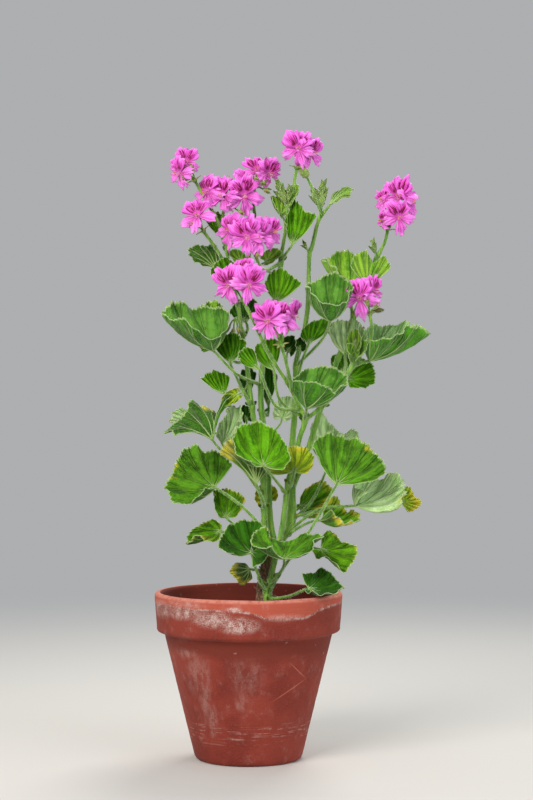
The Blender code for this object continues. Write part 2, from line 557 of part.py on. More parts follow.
def main():
    for obj in list(bpy.data.objects):
        bpy.data.objects.remove(obj)
    _, profile = build_pot()
    build_potting_mix(profile)
    for name, paths in STEMS.items():
        build_stem(name, paths)
    for leaf in LEAVES:
        build_leaf(*leaf)
    for head in FLOWER_HEADS:
        build_flower_head(*head)
    build_bud()


main()
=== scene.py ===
"""Potted regal pelargonium in flower, laid out as a Blender add-on and run as a script.

A weathered terracotta pot of potting mix with a short woody trunk, green stems, stalked fan-shaped leaves,
umbels of pink flowers feathered in crimson, buds and a seed pod. Each Operator makes one piece or one
group of like pieces round the solid model that the frame holds. The pot's axis is Z, it stands on z = 0,
and the plant leans towards +X. Tables are in millimetres.
"""

import math
import random
from functools import partial

import bpy
import numpy as np
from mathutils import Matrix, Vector, noise


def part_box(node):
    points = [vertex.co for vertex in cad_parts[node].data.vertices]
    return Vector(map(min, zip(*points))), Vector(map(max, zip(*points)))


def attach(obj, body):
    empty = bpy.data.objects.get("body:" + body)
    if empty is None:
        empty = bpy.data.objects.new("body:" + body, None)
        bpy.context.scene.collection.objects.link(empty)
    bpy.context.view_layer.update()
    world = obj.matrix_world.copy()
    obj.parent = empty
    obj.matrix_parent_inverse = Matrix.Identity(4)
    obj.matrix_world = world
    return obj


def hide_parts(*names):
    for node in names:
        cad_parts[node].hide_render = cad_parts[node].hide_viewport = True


bl_info = {
    "name": "Potted pelargonium",
    "version": (1, 0, 0),
    "blender": (4, 5, 0),
    "location": "View3D > Sidebar > Pelargonium",
    "description": "Builds a potted regal pelargonium in flower round its solid model",
    "category": "Object",
}

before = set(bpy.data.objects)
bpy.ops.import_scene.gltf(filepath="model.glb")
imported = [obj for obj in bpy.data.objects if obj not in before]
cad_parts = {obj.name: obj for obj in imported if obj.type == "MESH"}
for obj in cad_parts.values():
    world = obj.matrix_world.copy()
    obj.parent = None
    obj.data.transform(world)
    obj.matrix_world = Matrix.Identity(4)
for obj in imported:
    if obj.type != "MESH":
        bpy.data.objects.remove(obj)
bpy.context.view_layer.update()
POT_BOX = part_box("pot")
MIX_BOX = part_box("potting_mix")
MM = 0.001
SURROUNDINGS = "#eceef0"

# Pot: depth of the rim band, outer radius of the foot, how much wider the body is under the band, and the
# drain holes with the circle that they lie on
RIM_BAND = 39.0
FOOT_RADIUS = 53.5
FLARE = 30.5
DRAIN_HOLES = 3
DRAIN_CIRCLE = 26.0
DRAIN_RADIUS = 5.0

# Centre lines of the woody trunk and the green stems: x, y, z and radius, from the bottom up
STEM_PATHS = {
    "trunk": [(13, 0, 156, 6.2), (14, 0, 172, 5.6), (16, 0, 188, 5.2), (21, 0, 203, 5.0),
        (22, 0, 208, 4.6)],
    "left": [(19, -5, 214, 3.5), (16, -6, 232, 3.3), (15, -6, 257, 3.2), (14, -5, 287, 3.2),
        (8, -3, 317, 3.0), (5, 0, 338, 2.8), (2, 2, 359, 2.6), (-1, 4, 385, 2.4), (-6, 6, 417, 2.2),
        (-10, 6, 447, 2.0), (-16, 4, 472, 1.9), (-20, 3, 489, 1.8), (-22, 2, 513, 1.7)],
    "centre": [(25, 3, 216, 3.8), (22, 5, 232, 3.6), (20, 6, 257, 3.6), (19, 7, 287, 3.6),
        (17, 8, 317, 3.4), (14, 9, 337, 3.2), (12, 10, 361, 3.0), (14, 10, 392, 2.6),
        (19, 8, 427, 2.4), (27, 6, 462, 2.2), (32, 6, 491, 2.1), (33, 6, 504, 2.0), (36, 5, 521, 1.9),
        (39, 4, 548, 1.8)],
    "rear": [(32, 0, 217, 4.4), (40, 1, 229, 4.6), (43, 2, 245, 4.8), (43, 3, 262, 4.6),
        (43, 5, 287, 3.8), (44, 6, 317, 3.4), (46, 6, 343, 3.2), (47, 7, 377, 3.0), (48, 7, 397, 2.8),
        (54, 8, 417, 2.7), (59, 8, 447, 2.6), (60, 8, 472, 2.4), (61, 7, 503, 2.3), (64, 6, 512, 2.2),
        (68, 6, 530, 2.0), (72, 5, 543, 1.9)],
    "right_rear": [(43, 4, 267, 3.2), (49, 10, 281, 3.2), (60, 14, 308, 3.2), (72, 14, 347, 3.1),
        (86, 12, 389, 2.9), (97, 11, 416, 2.8), (105, 11, 439, 2.6), (114, 10, 463, 2.4),
        (122, 8, 484, 2.2), (129, 6, 502, 2.0)],
    "front": [(19, -14, 156, 4.2), (19, -14, 168, 3.8), (22, -14, 180, 3.2), (27, -14, 202, 3.0),
        (33, -13, 229, 3.0), (37, -12, 258, 2.9), (40, -12, 278, 2.9), (45, -12, 293, 2.8),
        (50, -12, 317, 2.8), (56, -12, 337, 2.9), (51, -13, 349, 2.4), (45, -14, 363, 2.2),
        (39, -15, 374, 2.0)],
    "right": [(56, -12, 337, 2.4), (65, -11, 344, 2.2), (78, -10, 355, 2.2), (87, -9, 365, 2.1),
        (97, -8, 381, 2.1), (105, -7, 393, 2.0), (110, -7, 400, 2.0)],
}

# Leaves: name, stem, the height at which the stalk leaves it, points of the stalk, base of the blade, depth
# of its hollow as a share of its length, tone, and points of the rim
LEAVES = [
    ("leaf_01", "centre", 372, [(-12, -15, 383)], (-35, -22, 406), 0.12, "cup",
     [(-26, -32, 420), (-20, -10, 443), (-33, 8, 449), (-54, 12, 453), (-74, 0, 454), (-83, -24, 445),
      (-63, -46, 433), (-42, -44, 419)]),
    ("leaf_02", "left", 398, [(-13, 18, 395)], (-28, 34, 411), 0.1, "fresh",
     [(-25, 44, 453), (-38, 38, 458), (-52, 30, 449), (-56, 24, 426), (-47, 26, 405)]),
    ("leaf_03", "left", 350, [(-9, -6, 373)], (-18, -16, 393), 0.12, "mid",
     [(-2, -22, 414), (-14, -12, 424), (-28, -6, 420), (-34, -10, 409)]),
    ("leaf_04", "centre", 312, [(-9, 12, 333)], (-24, 6, 363), 0.1, "bright",
     [(-19, 12, 380), (-27, 18, 385), (-37, 18, 386), (-49, 6, 379)]),
    ("leaf_05", "left", 262, [(-8, -16, 292), (-22, -24, 302)], (-35, -30, 317), 0.14, "sheen",
     [(-72, -48, 324), (-83, -38, 325), (-63, -30, 343), (-57, -22, 357), (-44, -12, 349),
      (-28, -2, 346), (-9, 6, 369)]),
    ("leaf_06", "left", 280, [(-15, 2, 301)], (-27, -2, 314), 0.14, "pale",
     [(-10, -14, 333), (-6, -4, 349), (-17, 6, 350), (-28, 8, 336), (-33, 2, 321)]),
    ("leaf_08", "front", 264, [(26, -34, 279)], (15, -50, 293), 0.16, "bright",
     [(34, -64, 291), (41, -56, 302), (35, -42, 317), (26, -36, 328), (6, -32, 336), (-10, -38, 331),
      (-15, -48, 320), (-8, -62, 303), (2, -64, 297)]),
    ("leaf_09", "left", 228, [(-6, -1, 250)], (-34, 2, 270), 0.12, "sheen",
     [(-16, 22, 293), (-30, 28, 303), (-44, 26, 304), (-56, 30, 314), (-68, 24, 304), (-75, 12, 289),
      (-84, -2, 269), (-73, -14, 255), (-54, -18, 259), (-42, -12, 269)]),
    ("leaf_10", "left", 250, [(14, -26, 258)], (8, -38, 274), 0.12, "orange",
     [(-29, -32, 305), (-20, -24, 318), (-6, -18, 320), (13, -26, 312), (19, -34, 288)]),
    ("leaf_12", "front", 276, [(42, -19, 272)], (45, -26, 286), 0.12, "ageing",
     [(58, -36, 285), (65, -30, 296), (60, -22, 308), (49, -18, 311), (33, -10, 310), (21, -14, 298),
      (18, -22, 283)]),
    ("leaf_13", "front", 166, [(35, -22, 192), (62, -40, 232)], (86, -54, 275), 0.1, "sheen",
     [(124, -56, 281), (134, -50, 290), (122, -34, 309), (98, -24, 321), (80, -24, 323),
      (65, -36, 317), (67, -46, 301)]),
    ("leaf_14", "rear", 236, [(64, 15, 256)], (80, 22, 290), 0.12, "pale",
     [(113, 30, 313), (107, 36, 328), (93, 34, 323), (81, 42, 337), (72, 40, 344), (63, 34, 328),
      (61, 26, 311)]),
    ("leaf_16", "rear", 228, [(71, -9, 248)], (106, -26, 253), 0.14, "pale",
     [(136, -52, 253), (148, -48, 254), (154, -38, 265), (148, -22, 283), (129, -10, 279),
      (111, -14, 279), (105, -28, 272), (116, -44, 267)]),
    ("leaf_17", "rear", 240, [(82, 14, 248), (130, 4, 253)], (152, -4, 255), 0.04, "ageing",
     [(158, -14, 246), (166, -12, 248), (172, -6, 256), (166, 0, 261), (161, 6, 271), (155, 7, 268)]),
    ("leaf_18", "rear", 221, [(57, -10, 234)], (71, -18, 238), 0.14, "yellow",
     [(80, -34, 249), (88, -38, 243), (97, -38, 236), (107, -30, 238), (110, -20, 245), (99, -8, 246),
      (86, 0, 260), (74, -6, 249)]),
    ("leaf_19", "rear", 250, [(46, 22, 244)], (51, 24, 248), 0.08, "yellow",
     [(55, 16, 239), (69, 22, 237), (78, 28, 251), (85, 32, 266), (74, 36, 274), (60, 36, 269),
      (52, 30, 258)]),
    ("leaf_20", "front", 216, [(51, -22, 213)], (71, -28, 210), 0.1, "yellow",
     [(62, -34, 212), (67, -40, 202), (76, -42, 203), (85, -46, 198), (95, -50, 191), (104, -48, 200),
      (106, -40, 215), (93, -28, 216), (86, -20, 225), (79, -18, 228), (72, -20, 222)]),
    ("leaf_21", "front", 170, [(34, -34, 192)], (35, -48, 202), 0.06, "sheen",
     [(48, -68, 207), (62, -68, 213), (71, -60, 226), (58, -44, 227), (43, -36, 219), (32, -34, 219),
      (21, -40, 224), (13, -48, 232), (4, -62, 225), (10, -72, 215), (22, -72, 215)]),
    ("leaf_22", "front", 163, [(7, -26, 191)], (3, -34, 207), 0.12, "dark",
     [(4, -48, 194), (13, -46, 198), (21, -36, 206), (22, -22, 219), (18, -12, 229), (8, -8, 236),
      (-4, -8, 239), (-17, -12, 234), (-26, -22, 224), (-29, -36, 213), (-16, -46, 205)]),
    ("leaf_23", "trunk", 196, [(-5, 6, 211)], (-27, 0, 226), 0.1, "yellow",
     [(-27, 4, 232), (-36, 6, 237), (-48, 4, 233), (-59, 6, 224), (-62, 0, 214), (-49, -14, 222),
      (-40, -20, 217), (-29, -16, 217)]),
    ("leaf_25", "left", 214, [(-1, 9, 222)], (-23, 8, 239), 0.12, "yellow",
     [(-13, 0, 240), (-4, 2, 253), (-6, 10, 261), (-21, 20, 267), (-35, 20, 266), (-34, 6, 251),
      (-30, -2, 240)]),
    ("leaf_26", "trunk", 186, [], (1, -2, 188), 0.1, "orange",
     [(4, -4, 179), (-6, -10, 173), (-13, -16, 180), (-18, -18, 188), (-13, -12, 195), (-3, -4, 194)]),
    ("leaf_28", "front", 159, [(41, -30, 164)], (59, -44, 173), 0.1, "dark",
     [(53, -52, 174), (59, -64, 170), (67, -72, 170), (79, -74, 173), (90, -68, 173), (93, -52, 176),
      (82, -34, 185), (71, -24, 192), (64, -26, 187), (52, -34, 186)]),
    ("leaf_29", "left", 466, [(-24, 8, 479)], (-33, 12, 488), 0.1, "bright",
     [(-46, 4, 492), (-60, 2, 501), (-59, 6, 510), (-47, 16, 513), (-35, 24, 513), (-28, 26, 503)]),
    ("leaf_31", "left", 452, [(-16, -10, 466)], (-18, -16, 475), 0.1, "mid",
     [(-14, -12, 493), (-23, -8, 499), (-32, -12, 494), (-38, -20, 483), (-31, -24, 474)]),
    ("leaf_33", "centre", 436, [(24, -12, 440)], (28, -20, 454), 0.12, "bright",
     [(52, -22, 473), (43, -14, 481), (32, -10, 488), (22, -12, 484), (15, -20, 470)]),
    ("leaf_34", "left", 420, [(-1, 14, 428)], (-3, 20, 436), 0.12, "dark",
     [(11, 24, 452), (3, 30, 461), (-9, 28, 458), (-19, 20, 448), (-14, 14, 438)]),
    ("leaf_36", "front", 348, [(27, -26, 351)], (10, -30, 388), 0.12, "bright",
     [(5, -30, 407), (-2, -28, 409), (-10, -32, 403), (-8, -38, 394)]),
    ("leaf_37", "front", 340, [(31, -14, 357)], (25, -20, 387), 0.12, "bright",
     [(32, -18, 407), (27, -14, 417), (15, -14, 417), (6, -20, 408), (9, -26, 396)]),
    ("leaf_40", "rear", 368, [(53, -8, 395)], (60, -16, 413), 0.12, "mid",
     [(85, -12, 431), (76, -6, 438), (65, -6, 436), (53, -12, 427), (52, -18, 418)]),
    ("leaf_41", "rear", 392, [(73, -10, 417)], (80, -42, 434), 0.14, "cup",
     [(97, -50, 452), (102, -34, 469), (86, -22, 482), (63, -30, 474), (55, -42, 467), (66, -56, 458),
      (83, -62, 448)]),
    ("leaf_42", "right_rear", 440, [], (101, 12, 468), 0.14, "fresh",
     [(111, 4, 476), (118, 18, 491), (107, 30, 507), (93, 32, 508), (81, 22, 502), (75, 12, 498),
      (87, -2, 488), (100, -4, 476)]),
    ("leaf_43", "right_rear", 466, [], (118, -12, 472), 0.1, "fresh",
     [(142, -14, 488), (136, -4, 500), (125, -6, 495), (116, -2, 506), (104, -6, 500), (102, -12, 490)]),
    ("leaf_47", "right", 392, [], (120, -6, 396), 0.12, "wide",
     [(120, -26, 416), (135, -32, 416), (146, -24, 424), (158, -18, 428), (177, -6, 428),
      (166, 6, 433), (146, 16, 433), (125, 14, 433), (114, 2, 423)]),
    ("leaf_48", "right", 380, [(97, -4, 391)], (96, -8, 403), 0.12, "pale",
     [(119, -8, 418), (115, 4, 431), (105, 10, 437), (94, 10, 438), (82, 4, 433), (78, -6, 424)]),
    ("leaf_51", "right", 366, [(96, 6, 371)], (95, 16, 386), 0.1, "mid",
     [(110, 20, 395), (109, 26, 405), (96, 28, 406), (84, 22, 401), (83, 16, 391)]),
    ("leaf_52", "right", 352, [(90, 18, 365)], (99, 26, 379), 0.1, "bright",
     [(102, 20, 369), (120, 22, 370), (128, 26, 377), (125, 32, 394), (113, 36, 400), (102, 34, 396)]),
    ("leaf_54", "front", 338, [], (57, -40, 349), 0.14, "cup",
     [(86, -54, 364), (96, -44, 373), (95, -34, 383), (80, -26, 389), (65, -26, 390), (54, -32, 386),
      (43, -46, 377), (56, -58, 376), (69, -60, 372)]),
    ("leaf_55", "left", 352, [(0, 24, 353)], (-1, 30, 360), 0.1, "dark",
     [(8, 34, 383), (1, 38, 390), (-9, 36, 385), (-10, 30, 369)]),
    ("leaf_56", "centre", 346, [(19, 22, 341)], (20, 28, 351), 0.1, "dark",
     [(29, 30, 381), (20, 34, 394), (11, 32, 388), (12, 28, 367)]),
    ("leaf_61", "rear", 541, [], (81, 2, 552), 0.08, "fresh",
     [(85, 10, 565), (96, 8, 570), (105, 0, 568), (98, -8, 560), (88, -10, 554)]),
    ("leaf_62", "centre", 497, [(38, -8, 504)], (44, -12, 512), 0.12, "bright",
     [(67, -18, 542), (57, -8, 544), (52, -4, 551), (44, 0, 558), (38, -6, 543), (37, -14, 525)]),
]

# Flower heads: name, stem, height, points of the stalk, where the flowers spring from, and for each flower
# its centre, the way it faces and its radius
FLOWER_HEADS = [
    ("flower_head_01", "centre", 548, [(43, 2, 557), (46, -1, 577)], (48, -2, 589), [
        ((49, -14, 607), (-0.15, -1, 0.05), 15),
        ((64, -6, 603), (0.6, -0.75, -0.05), 14.5),
    ]),
    ("flower_head_02", "left", 512, [(-27, 4, 525), (-35, 4, 544), (-44, 4, 559)], (-54, 3, 577), [
        ((-71, -8, 583), (-0.6, -0.8, -0.05), 14),
        ((-62, -3, 596), (0.25, -0.9, 0.3), 13),
    ]),
    ("flower_head_03", "centre", 500, [(13, 26, 523), (5, 26, 551)], (6, 24, 574), [
        ((8, 16, 591), (0.05, -0.8, 0.6), 15.5),
        ((22, 14, 585), (0.5, -0.8, -0.15), 13.5),
    ]),
    ("flower_head_04", "left", 506, [(-24, 12, 532), (-26, 12, 544)], (-23, 10, 553), [
        ((-44, -3, 566), (-0.55, -0.8, 0.1), 14.5),
        ((-27, -8, 562), (-0.35, -0.92, 0.1), 15.5),
        ((-4, -10, 561), (0.15, -0.98, 0), 16.5),
        ((-21, 10, 579), (-0.2, -0.1, 0.95), 14),
        ((-3, 4, 575), (0.7, -0.45, 0.5), 14.5),
    ]),
    ("flower_head_05", "left", 486, [(-27, -6, 499), (-34, -10, 510)], (-45, -12, 525), [
        ((-52, -18, 542), (-0.3, -0.8, 0.5), 16),
    ]),
    ("flower_head_06", "centre", 494, [(15, -26, 485), (7, -28, 499)], (3, -28, 509), [
        ((-20, -35, 524), (-0.5, -0.85, 0.05), 15),
        ((2, -26, 531), (0, -0.45, 0.9), 14),
        ((-2, -44, 517), (-0.1, -1, -0.05), 16),
        ((12, -42, 517), (0.3, -0.95, 0), 15.5),
        ((25, -29, 523), (0.6, -0.75, 0.15), 14),
    ]),
    ("flower_head_07", "front", 373, [(30, -22, 387), (17, -34, 408), (6, -44, 432)], (-5, -50, 454), [
        ((-20, -60, 468), (-0.45, -0.88, -0.1), 15.5),
        ((-5, -54, 480), (-0.05, -0.85, 0.5), 15.5),
        ((1, -66, 468), (0.2, -0.97, -0.1), 16),
    ]),
    ("flower_head_08", "front", 366, [(37, -34, 394)], (32, -46, 411), [
        ((18, -58, 434), (-0.3, -0.95, 0), 16),
        ((33, -52, 438), (0.25, -0.85, 0.45), 15.5),
        ((46, -46, 439), (0.9, -0.4, -0.1), 14.5),
    ]),
    ("flower_head_09", "right_rear", 501, [(137, 4, 517)], (139, 0, 528), [
        ((133, -2, 557), (-0.7, -0.65, 0.2), 10.5),
        ((149, -8, 561), (-0.05, -0.95, 0.25), 16),
        ((164, -3, 555), (0.7, -0.6, 0.25), 13.5),
        ((150, -17, 538), (0.15, -0.95, -0.1), 14.5),
        ((132, -8, 536), (-0.8, -0.55, 0.0), 8),
    ]),
    ("flower_head_10", "right", 398, [(120, -14, 415), (122, -18, 428)], (120, -20, 442), [
        ((109, -30, 458), (-0.1, -0.98, 0.1), 16),
        ((125, -21, 465), (0.6, -0.75, 0.1), 13.5),
    ]),
]

# The unopened bud and the points of its stalk
BUD_STALK = [(73, 3, 548), (65, 1, 566), (59, 0, 578)]
BUD_CENTRE = (55, 0, 586)
BUD_RADIUS = 5.2
BUD_LENGTH = 15.0

# The stem pieces, each with its centre lines
STEMS = {
    "woody_trunk": ["trunk"],
    "stem_left": ["left"],
    "stem_centre": ["centre"],
    "stem_rear": ["rear", "right_rear"],
    "stem_front": ["front", "right"],
}

# Leaves that have no solid of their own, in the same form as LEAVES
MORE_LEAVES = [
    ("leaf_07", "left", 300, [(-11, 30, 320)], (-44, 38, 324), 0.1, "pale",
     [(-80, 26, 336), (-76, 32, 346), (-62, 42, 348), (-46, 50, 345)]),
    ("leaf_30", "left", 506, [(-25, 10, 514)], (-27, 14, 521), 0.1, "bright",
     [(-23, 20, 542), (-30, 26, 547), (-38, 24, 546), (-44, 16, 537)]),
]

# Leaves whose margin meets itself in front, so that they make a whole cup
CLOSED_CUPS = {"leaf_01", "leaf_41", "leaf_54"}

# Young leaves that have no solid of their own: base, tip, upper side, width over length, tone
YOUNG_LEAVES = [
    ((104, -6, 398), (108, -14, 427), (-0.35, -0.85, 0.3), 0.55, "fresh"),
    ((104, -8, 396), (119, -16, 414), (-0.5, -0.6, 0.6), 0.8, "fresh"),
    ((103, -9, 395), (97, -20, 412), (0.3, -0.7, 0.6), 0.8, "fresh"),
    ((-5, 0, 366), (-27, -5, 352), (0.3, -0.8, 0.5), 0.55, "ageing"),
    ((-1, 3, 332), (-6, -1, 352), (0.4, -0.9, 0.1), 0.6, "deep"),
    ((31, 14, 332), (41, 19, 360), (-0.3, -0.9, 0.2), 0.7, "pale"),
    ((21, 13, 250), (12, 9, 271), (0.2, -0.9, 0.3), 1.1, "ageing"),
    ((-3, 12, 494), (-20, 9, 505), (0.3, -0.8, 0.5), 0.8, "fresh"),
    ((12, 8, 493), (33, 3, 505), (-0.3, -0.8, 0.5), 0.7, "fresh"),
    ((118, -6, 466), (131, -11, 476), (-0.3, -0.8, 0.5), 0.7, "fresh"),
    ((38, -19, 400), (44, -27, 420), (-0.2, -0.8, 0.5), 0.8, "deep"),
    ((50, -10, 404), (51, -17, 419), (0.1, -0.9, 0.3), 0.8, "deep"),
    ((22, -18, 176), (32, -24, 184), (-0.4, -0.6, 0.7), 0.8, "fresh"),
    ((17, -17, 170), (9, -22, 178), (0.4, -0.6, 0.7), 0.8, "fresh"),
    ((39, 4, 551), (50, -4, 571), (-0.5, -0.7, 0.5), 0.75, "fresh"),
    ((36, 5, 536), (23, 4, 561), (0.6, -0.6, 0.3), 0.5, "fresh"),
]

# Growing tips, tight with small folded leaves: joint, way it points, length, spread, leaves in it
TIPS = [
    ((39, 4, 548), (-0.36, -0.2, 1.0), 34, 0.3, 9),
    ((39, 4, 549), (0.1, -0.3, 1.0), 24, 0.35, 6),
    ((72, 5, 545), (0.12, -0.15, 1.0), 33, 0.3, 10),
    ((71, 5, 548), (-0.35, -0.2, 1.0), 24, 0.3, 6),
    ((129, 6, 500), (-0.3, -0.2, 1.0), 20, 0.35, 5),
    ((-22, 2, 512), (-0.3, -0.3, 1.0), 16, 0.35, 4),
    ((104, -7, 399), (0.15, -0.2, 1.0), 22, 0.35, 6),
    ((60, 7, 506), (-0.5, -0.5, 0.9), 14, 0.4, 3),
]

# Leaf tones: upper skin, its shaded parts, underside, its shaded parts, veins, ageing margin, pale sheen.
# Besides the leaves' own colours the tones carry painted light and shade: the dark and deep tones are darker
# copies for leaves in the shade inside the plant, the pale tone paints the light that hairy upper sides
# reflect, the wide tone paints light on the inside of a leaf that faces away from the lamps, and the cup tone
# is paler inside as a painted sheen. Most undersides are darker than their upper sides, as painted shade of
# the side that faces down.
TONES = {
    "bright": ("#6cb80e", "#3b7803", "#387604", "#1c4e02", "#9ccc3c", 0.0, 0.01),
    "mid": ("#56a008", "#2b6002", "#306c06", "#184602", "#84b830", 0.0, 0.01),
    "dark": ("#357408", "#184004", "#285a08", "#143802", "#60942a", 0.0, 0.01),
    "deep": ("#2c6008", "#163c02", "#245206", "#122e02", "#4e7c22", 0.0, 0.01),
    "cup": ("#70ae3c", "#3c7618", "#418806", "#225604", "#8ec258", 0.0, 0.08),
    "sheen": ("#66a81c", "#2e6204", "#36700a", "#1c4a02", "#92c44c", 0.08, 0.04),
    "pale": ("#d8f8b4", "#a8d87e", "#c4e8a0", "#84b85c", "#dcf0b8", 0.08, 0.4),
    "fresh": ("#a0d438", "#57a00c", "#8ec236", "#4c8c0e", "#c0e47c", 0.0, 0.15),
    "yellow": ("#68aa0c", "#2c6202", "#4e8a0c", "#2a5c04", "#98c444", 0.34, 0.02),
    "orange": ("#50860a", "#265002", "#42700a", "#224c04", "#96ac38", 0.44, 0.02),
    "ageing": ("#bcd824", "#80a80c", "#a4c424", "#649010", "#c8d860", 0.42, 0.03),
    "wide": ("#acd890", "#6ea44e", "#4e9a0c", "#2c6806", "#a0d068", 0.0, 0.3),
    "tip": ("#bce05c", "#82b828", "#b4dc60", "#76ac2c", "#dcf0a8", 0.0, 0.1),
}
VEINS = 7


def linear(code):
    """A linear RGBA colour from an sRGB hex code."""
    parts = [int(code[i:i + 2], 16) / 255 for i in (1, 3, 5)]
    return tuple(p / 12.92 if p <= 0.04045 else ((p + 0.055) / 1.055) ** 2.4 for p in parts) + (1.0,)


# Shader nodes by what they do here: kind of node, sockets of its values in order, output, settings
NODES = {
    **{name: ("Math", (0, 1), 0, {"operation": name.upper()})
       for name in ("add", "subtract", "multiply", "power", "absolute", "fract", "minimum", "maximum")},
    "rise": ("MapRange", (0, 1, 2, 3, 4), 0, {"interpolation_type": "SMOOTHSTEP"}),
    "mix": ("Mix", (0, 6, 7), 2, {"data_type": "RGBA"}),
    "noise": ("TexNoise", ("Vector", "Scale", "Detail", "Roughness"), 0, {}),
    "crack": ("TexVoronoi", ("Vector", "Scale"), "Distance", {"feature": "DISTANCE_TO_EDGE"}),
    "join": ("CombineXYZ", (0, 1, 2), 0, {}),
    "stretch": ("Mapping", ("Vector", "Scale"), 0, {}),
    "offset": ("VectorMath", (0, 1), 0, {"operation": "SUBTRACT"}),
    "scale": ("VectorMath", (0, 1), 0, {"operation": "MULTIPLY"}),
    "length": ("VectorMath", (0,), "Value", {"operation": "LENGTH"}),
    "bump": ("Bump", ("Strength", "Distance", "Height"), 0, {}),
    "place": ("TexCoord", (), "Object", {}),
    "fan": ("UVMap", (), 0, {"uv_map": "fan"}),
    "parts": ("SeparateXYZ", (0,), None, {}),
    "glow": ("Emission", ("Color", "Strength"), 0, {}),
    "mix shader": ("MixShader", (0, 1, 2), 0, {}),
}


def node(tree, name, *values, **settings):
    """Adds a shader node of the table with its settings, values and links, and gives its output."""
    kind, sockets, output, fixed = NODES[name]
    made = tree.nodes.new("ShaderNode" + kind)
    for key, value in {**fixed, **settings}.items():
        setattr(made, key, value)
    for key, value in zip(sockets, values):
        if isinstance(value, bpy.types.NodeSocket):
            tree.links.new(value, made.inputs[key])
        else:
            made.inputs[key].default_value = linear(value) if isinstance(value, str) else value
    return made.outputs if output is None else made.outputs[output]


def new_material(name, roughness, sheen=0.0, sheen_colour="#ffffff", ior=1.45, subsurface=0.0, specular=0.5):
    """A material with its Principled BSDF's constants set, its shader, and the way to add a node to it."""
    material = bpy.data.materials.new(name)
    material.use_nodes = True
    shader = material.node_tree.nodes["Principled BSDF"]
    for key, value in (("Roughness", roughness), ("IOR", ior), ("Specular IOR Level", specular),
                       ("Sheen Weight", sheen), ("Sheen Roughness", 0.45),
                       ("Sheen Tint", linear(sheen_colour)), ("Subsurface Weight", subsurface),
                       ("Subsurface Scale", 0.0012)):
        shader.inputs[key].default_value = value
    return material, shader, partial(node, material.node_tree)


def surface(make, shader, colour, height=None, depth=0.0003, strength=0.6):
    """Links a colour and a bump height, of this depth in metres, to the shader."""
    tree = shader.id_data
    tree.links.new(colour, shader.inputs["Base Color"])
    if height is not None:
        tree.links.new(make("bump", strength, depth, height), shader.inputs["Normal"])


def patch(make, place, centre, radii):
    """A soft mask, 1 at the centre and 0 past the radii, both in millimetres."""
    offset = make("offset", place, [c * MM for c in centre])
    return make("rise", make("length", make("scale", offset, [1.0 / (r * MM) for r in radii])), 1.0, 0.25)


def patches(make, place, under, spots):
    """The strongest of a mask and several soft patches, each with its centre, radii and amount."""
    for centre, radii, amount in spots:
        under = make("maximum", under, make("multiply", patch(make, place, centre, radii), amount))
    return under


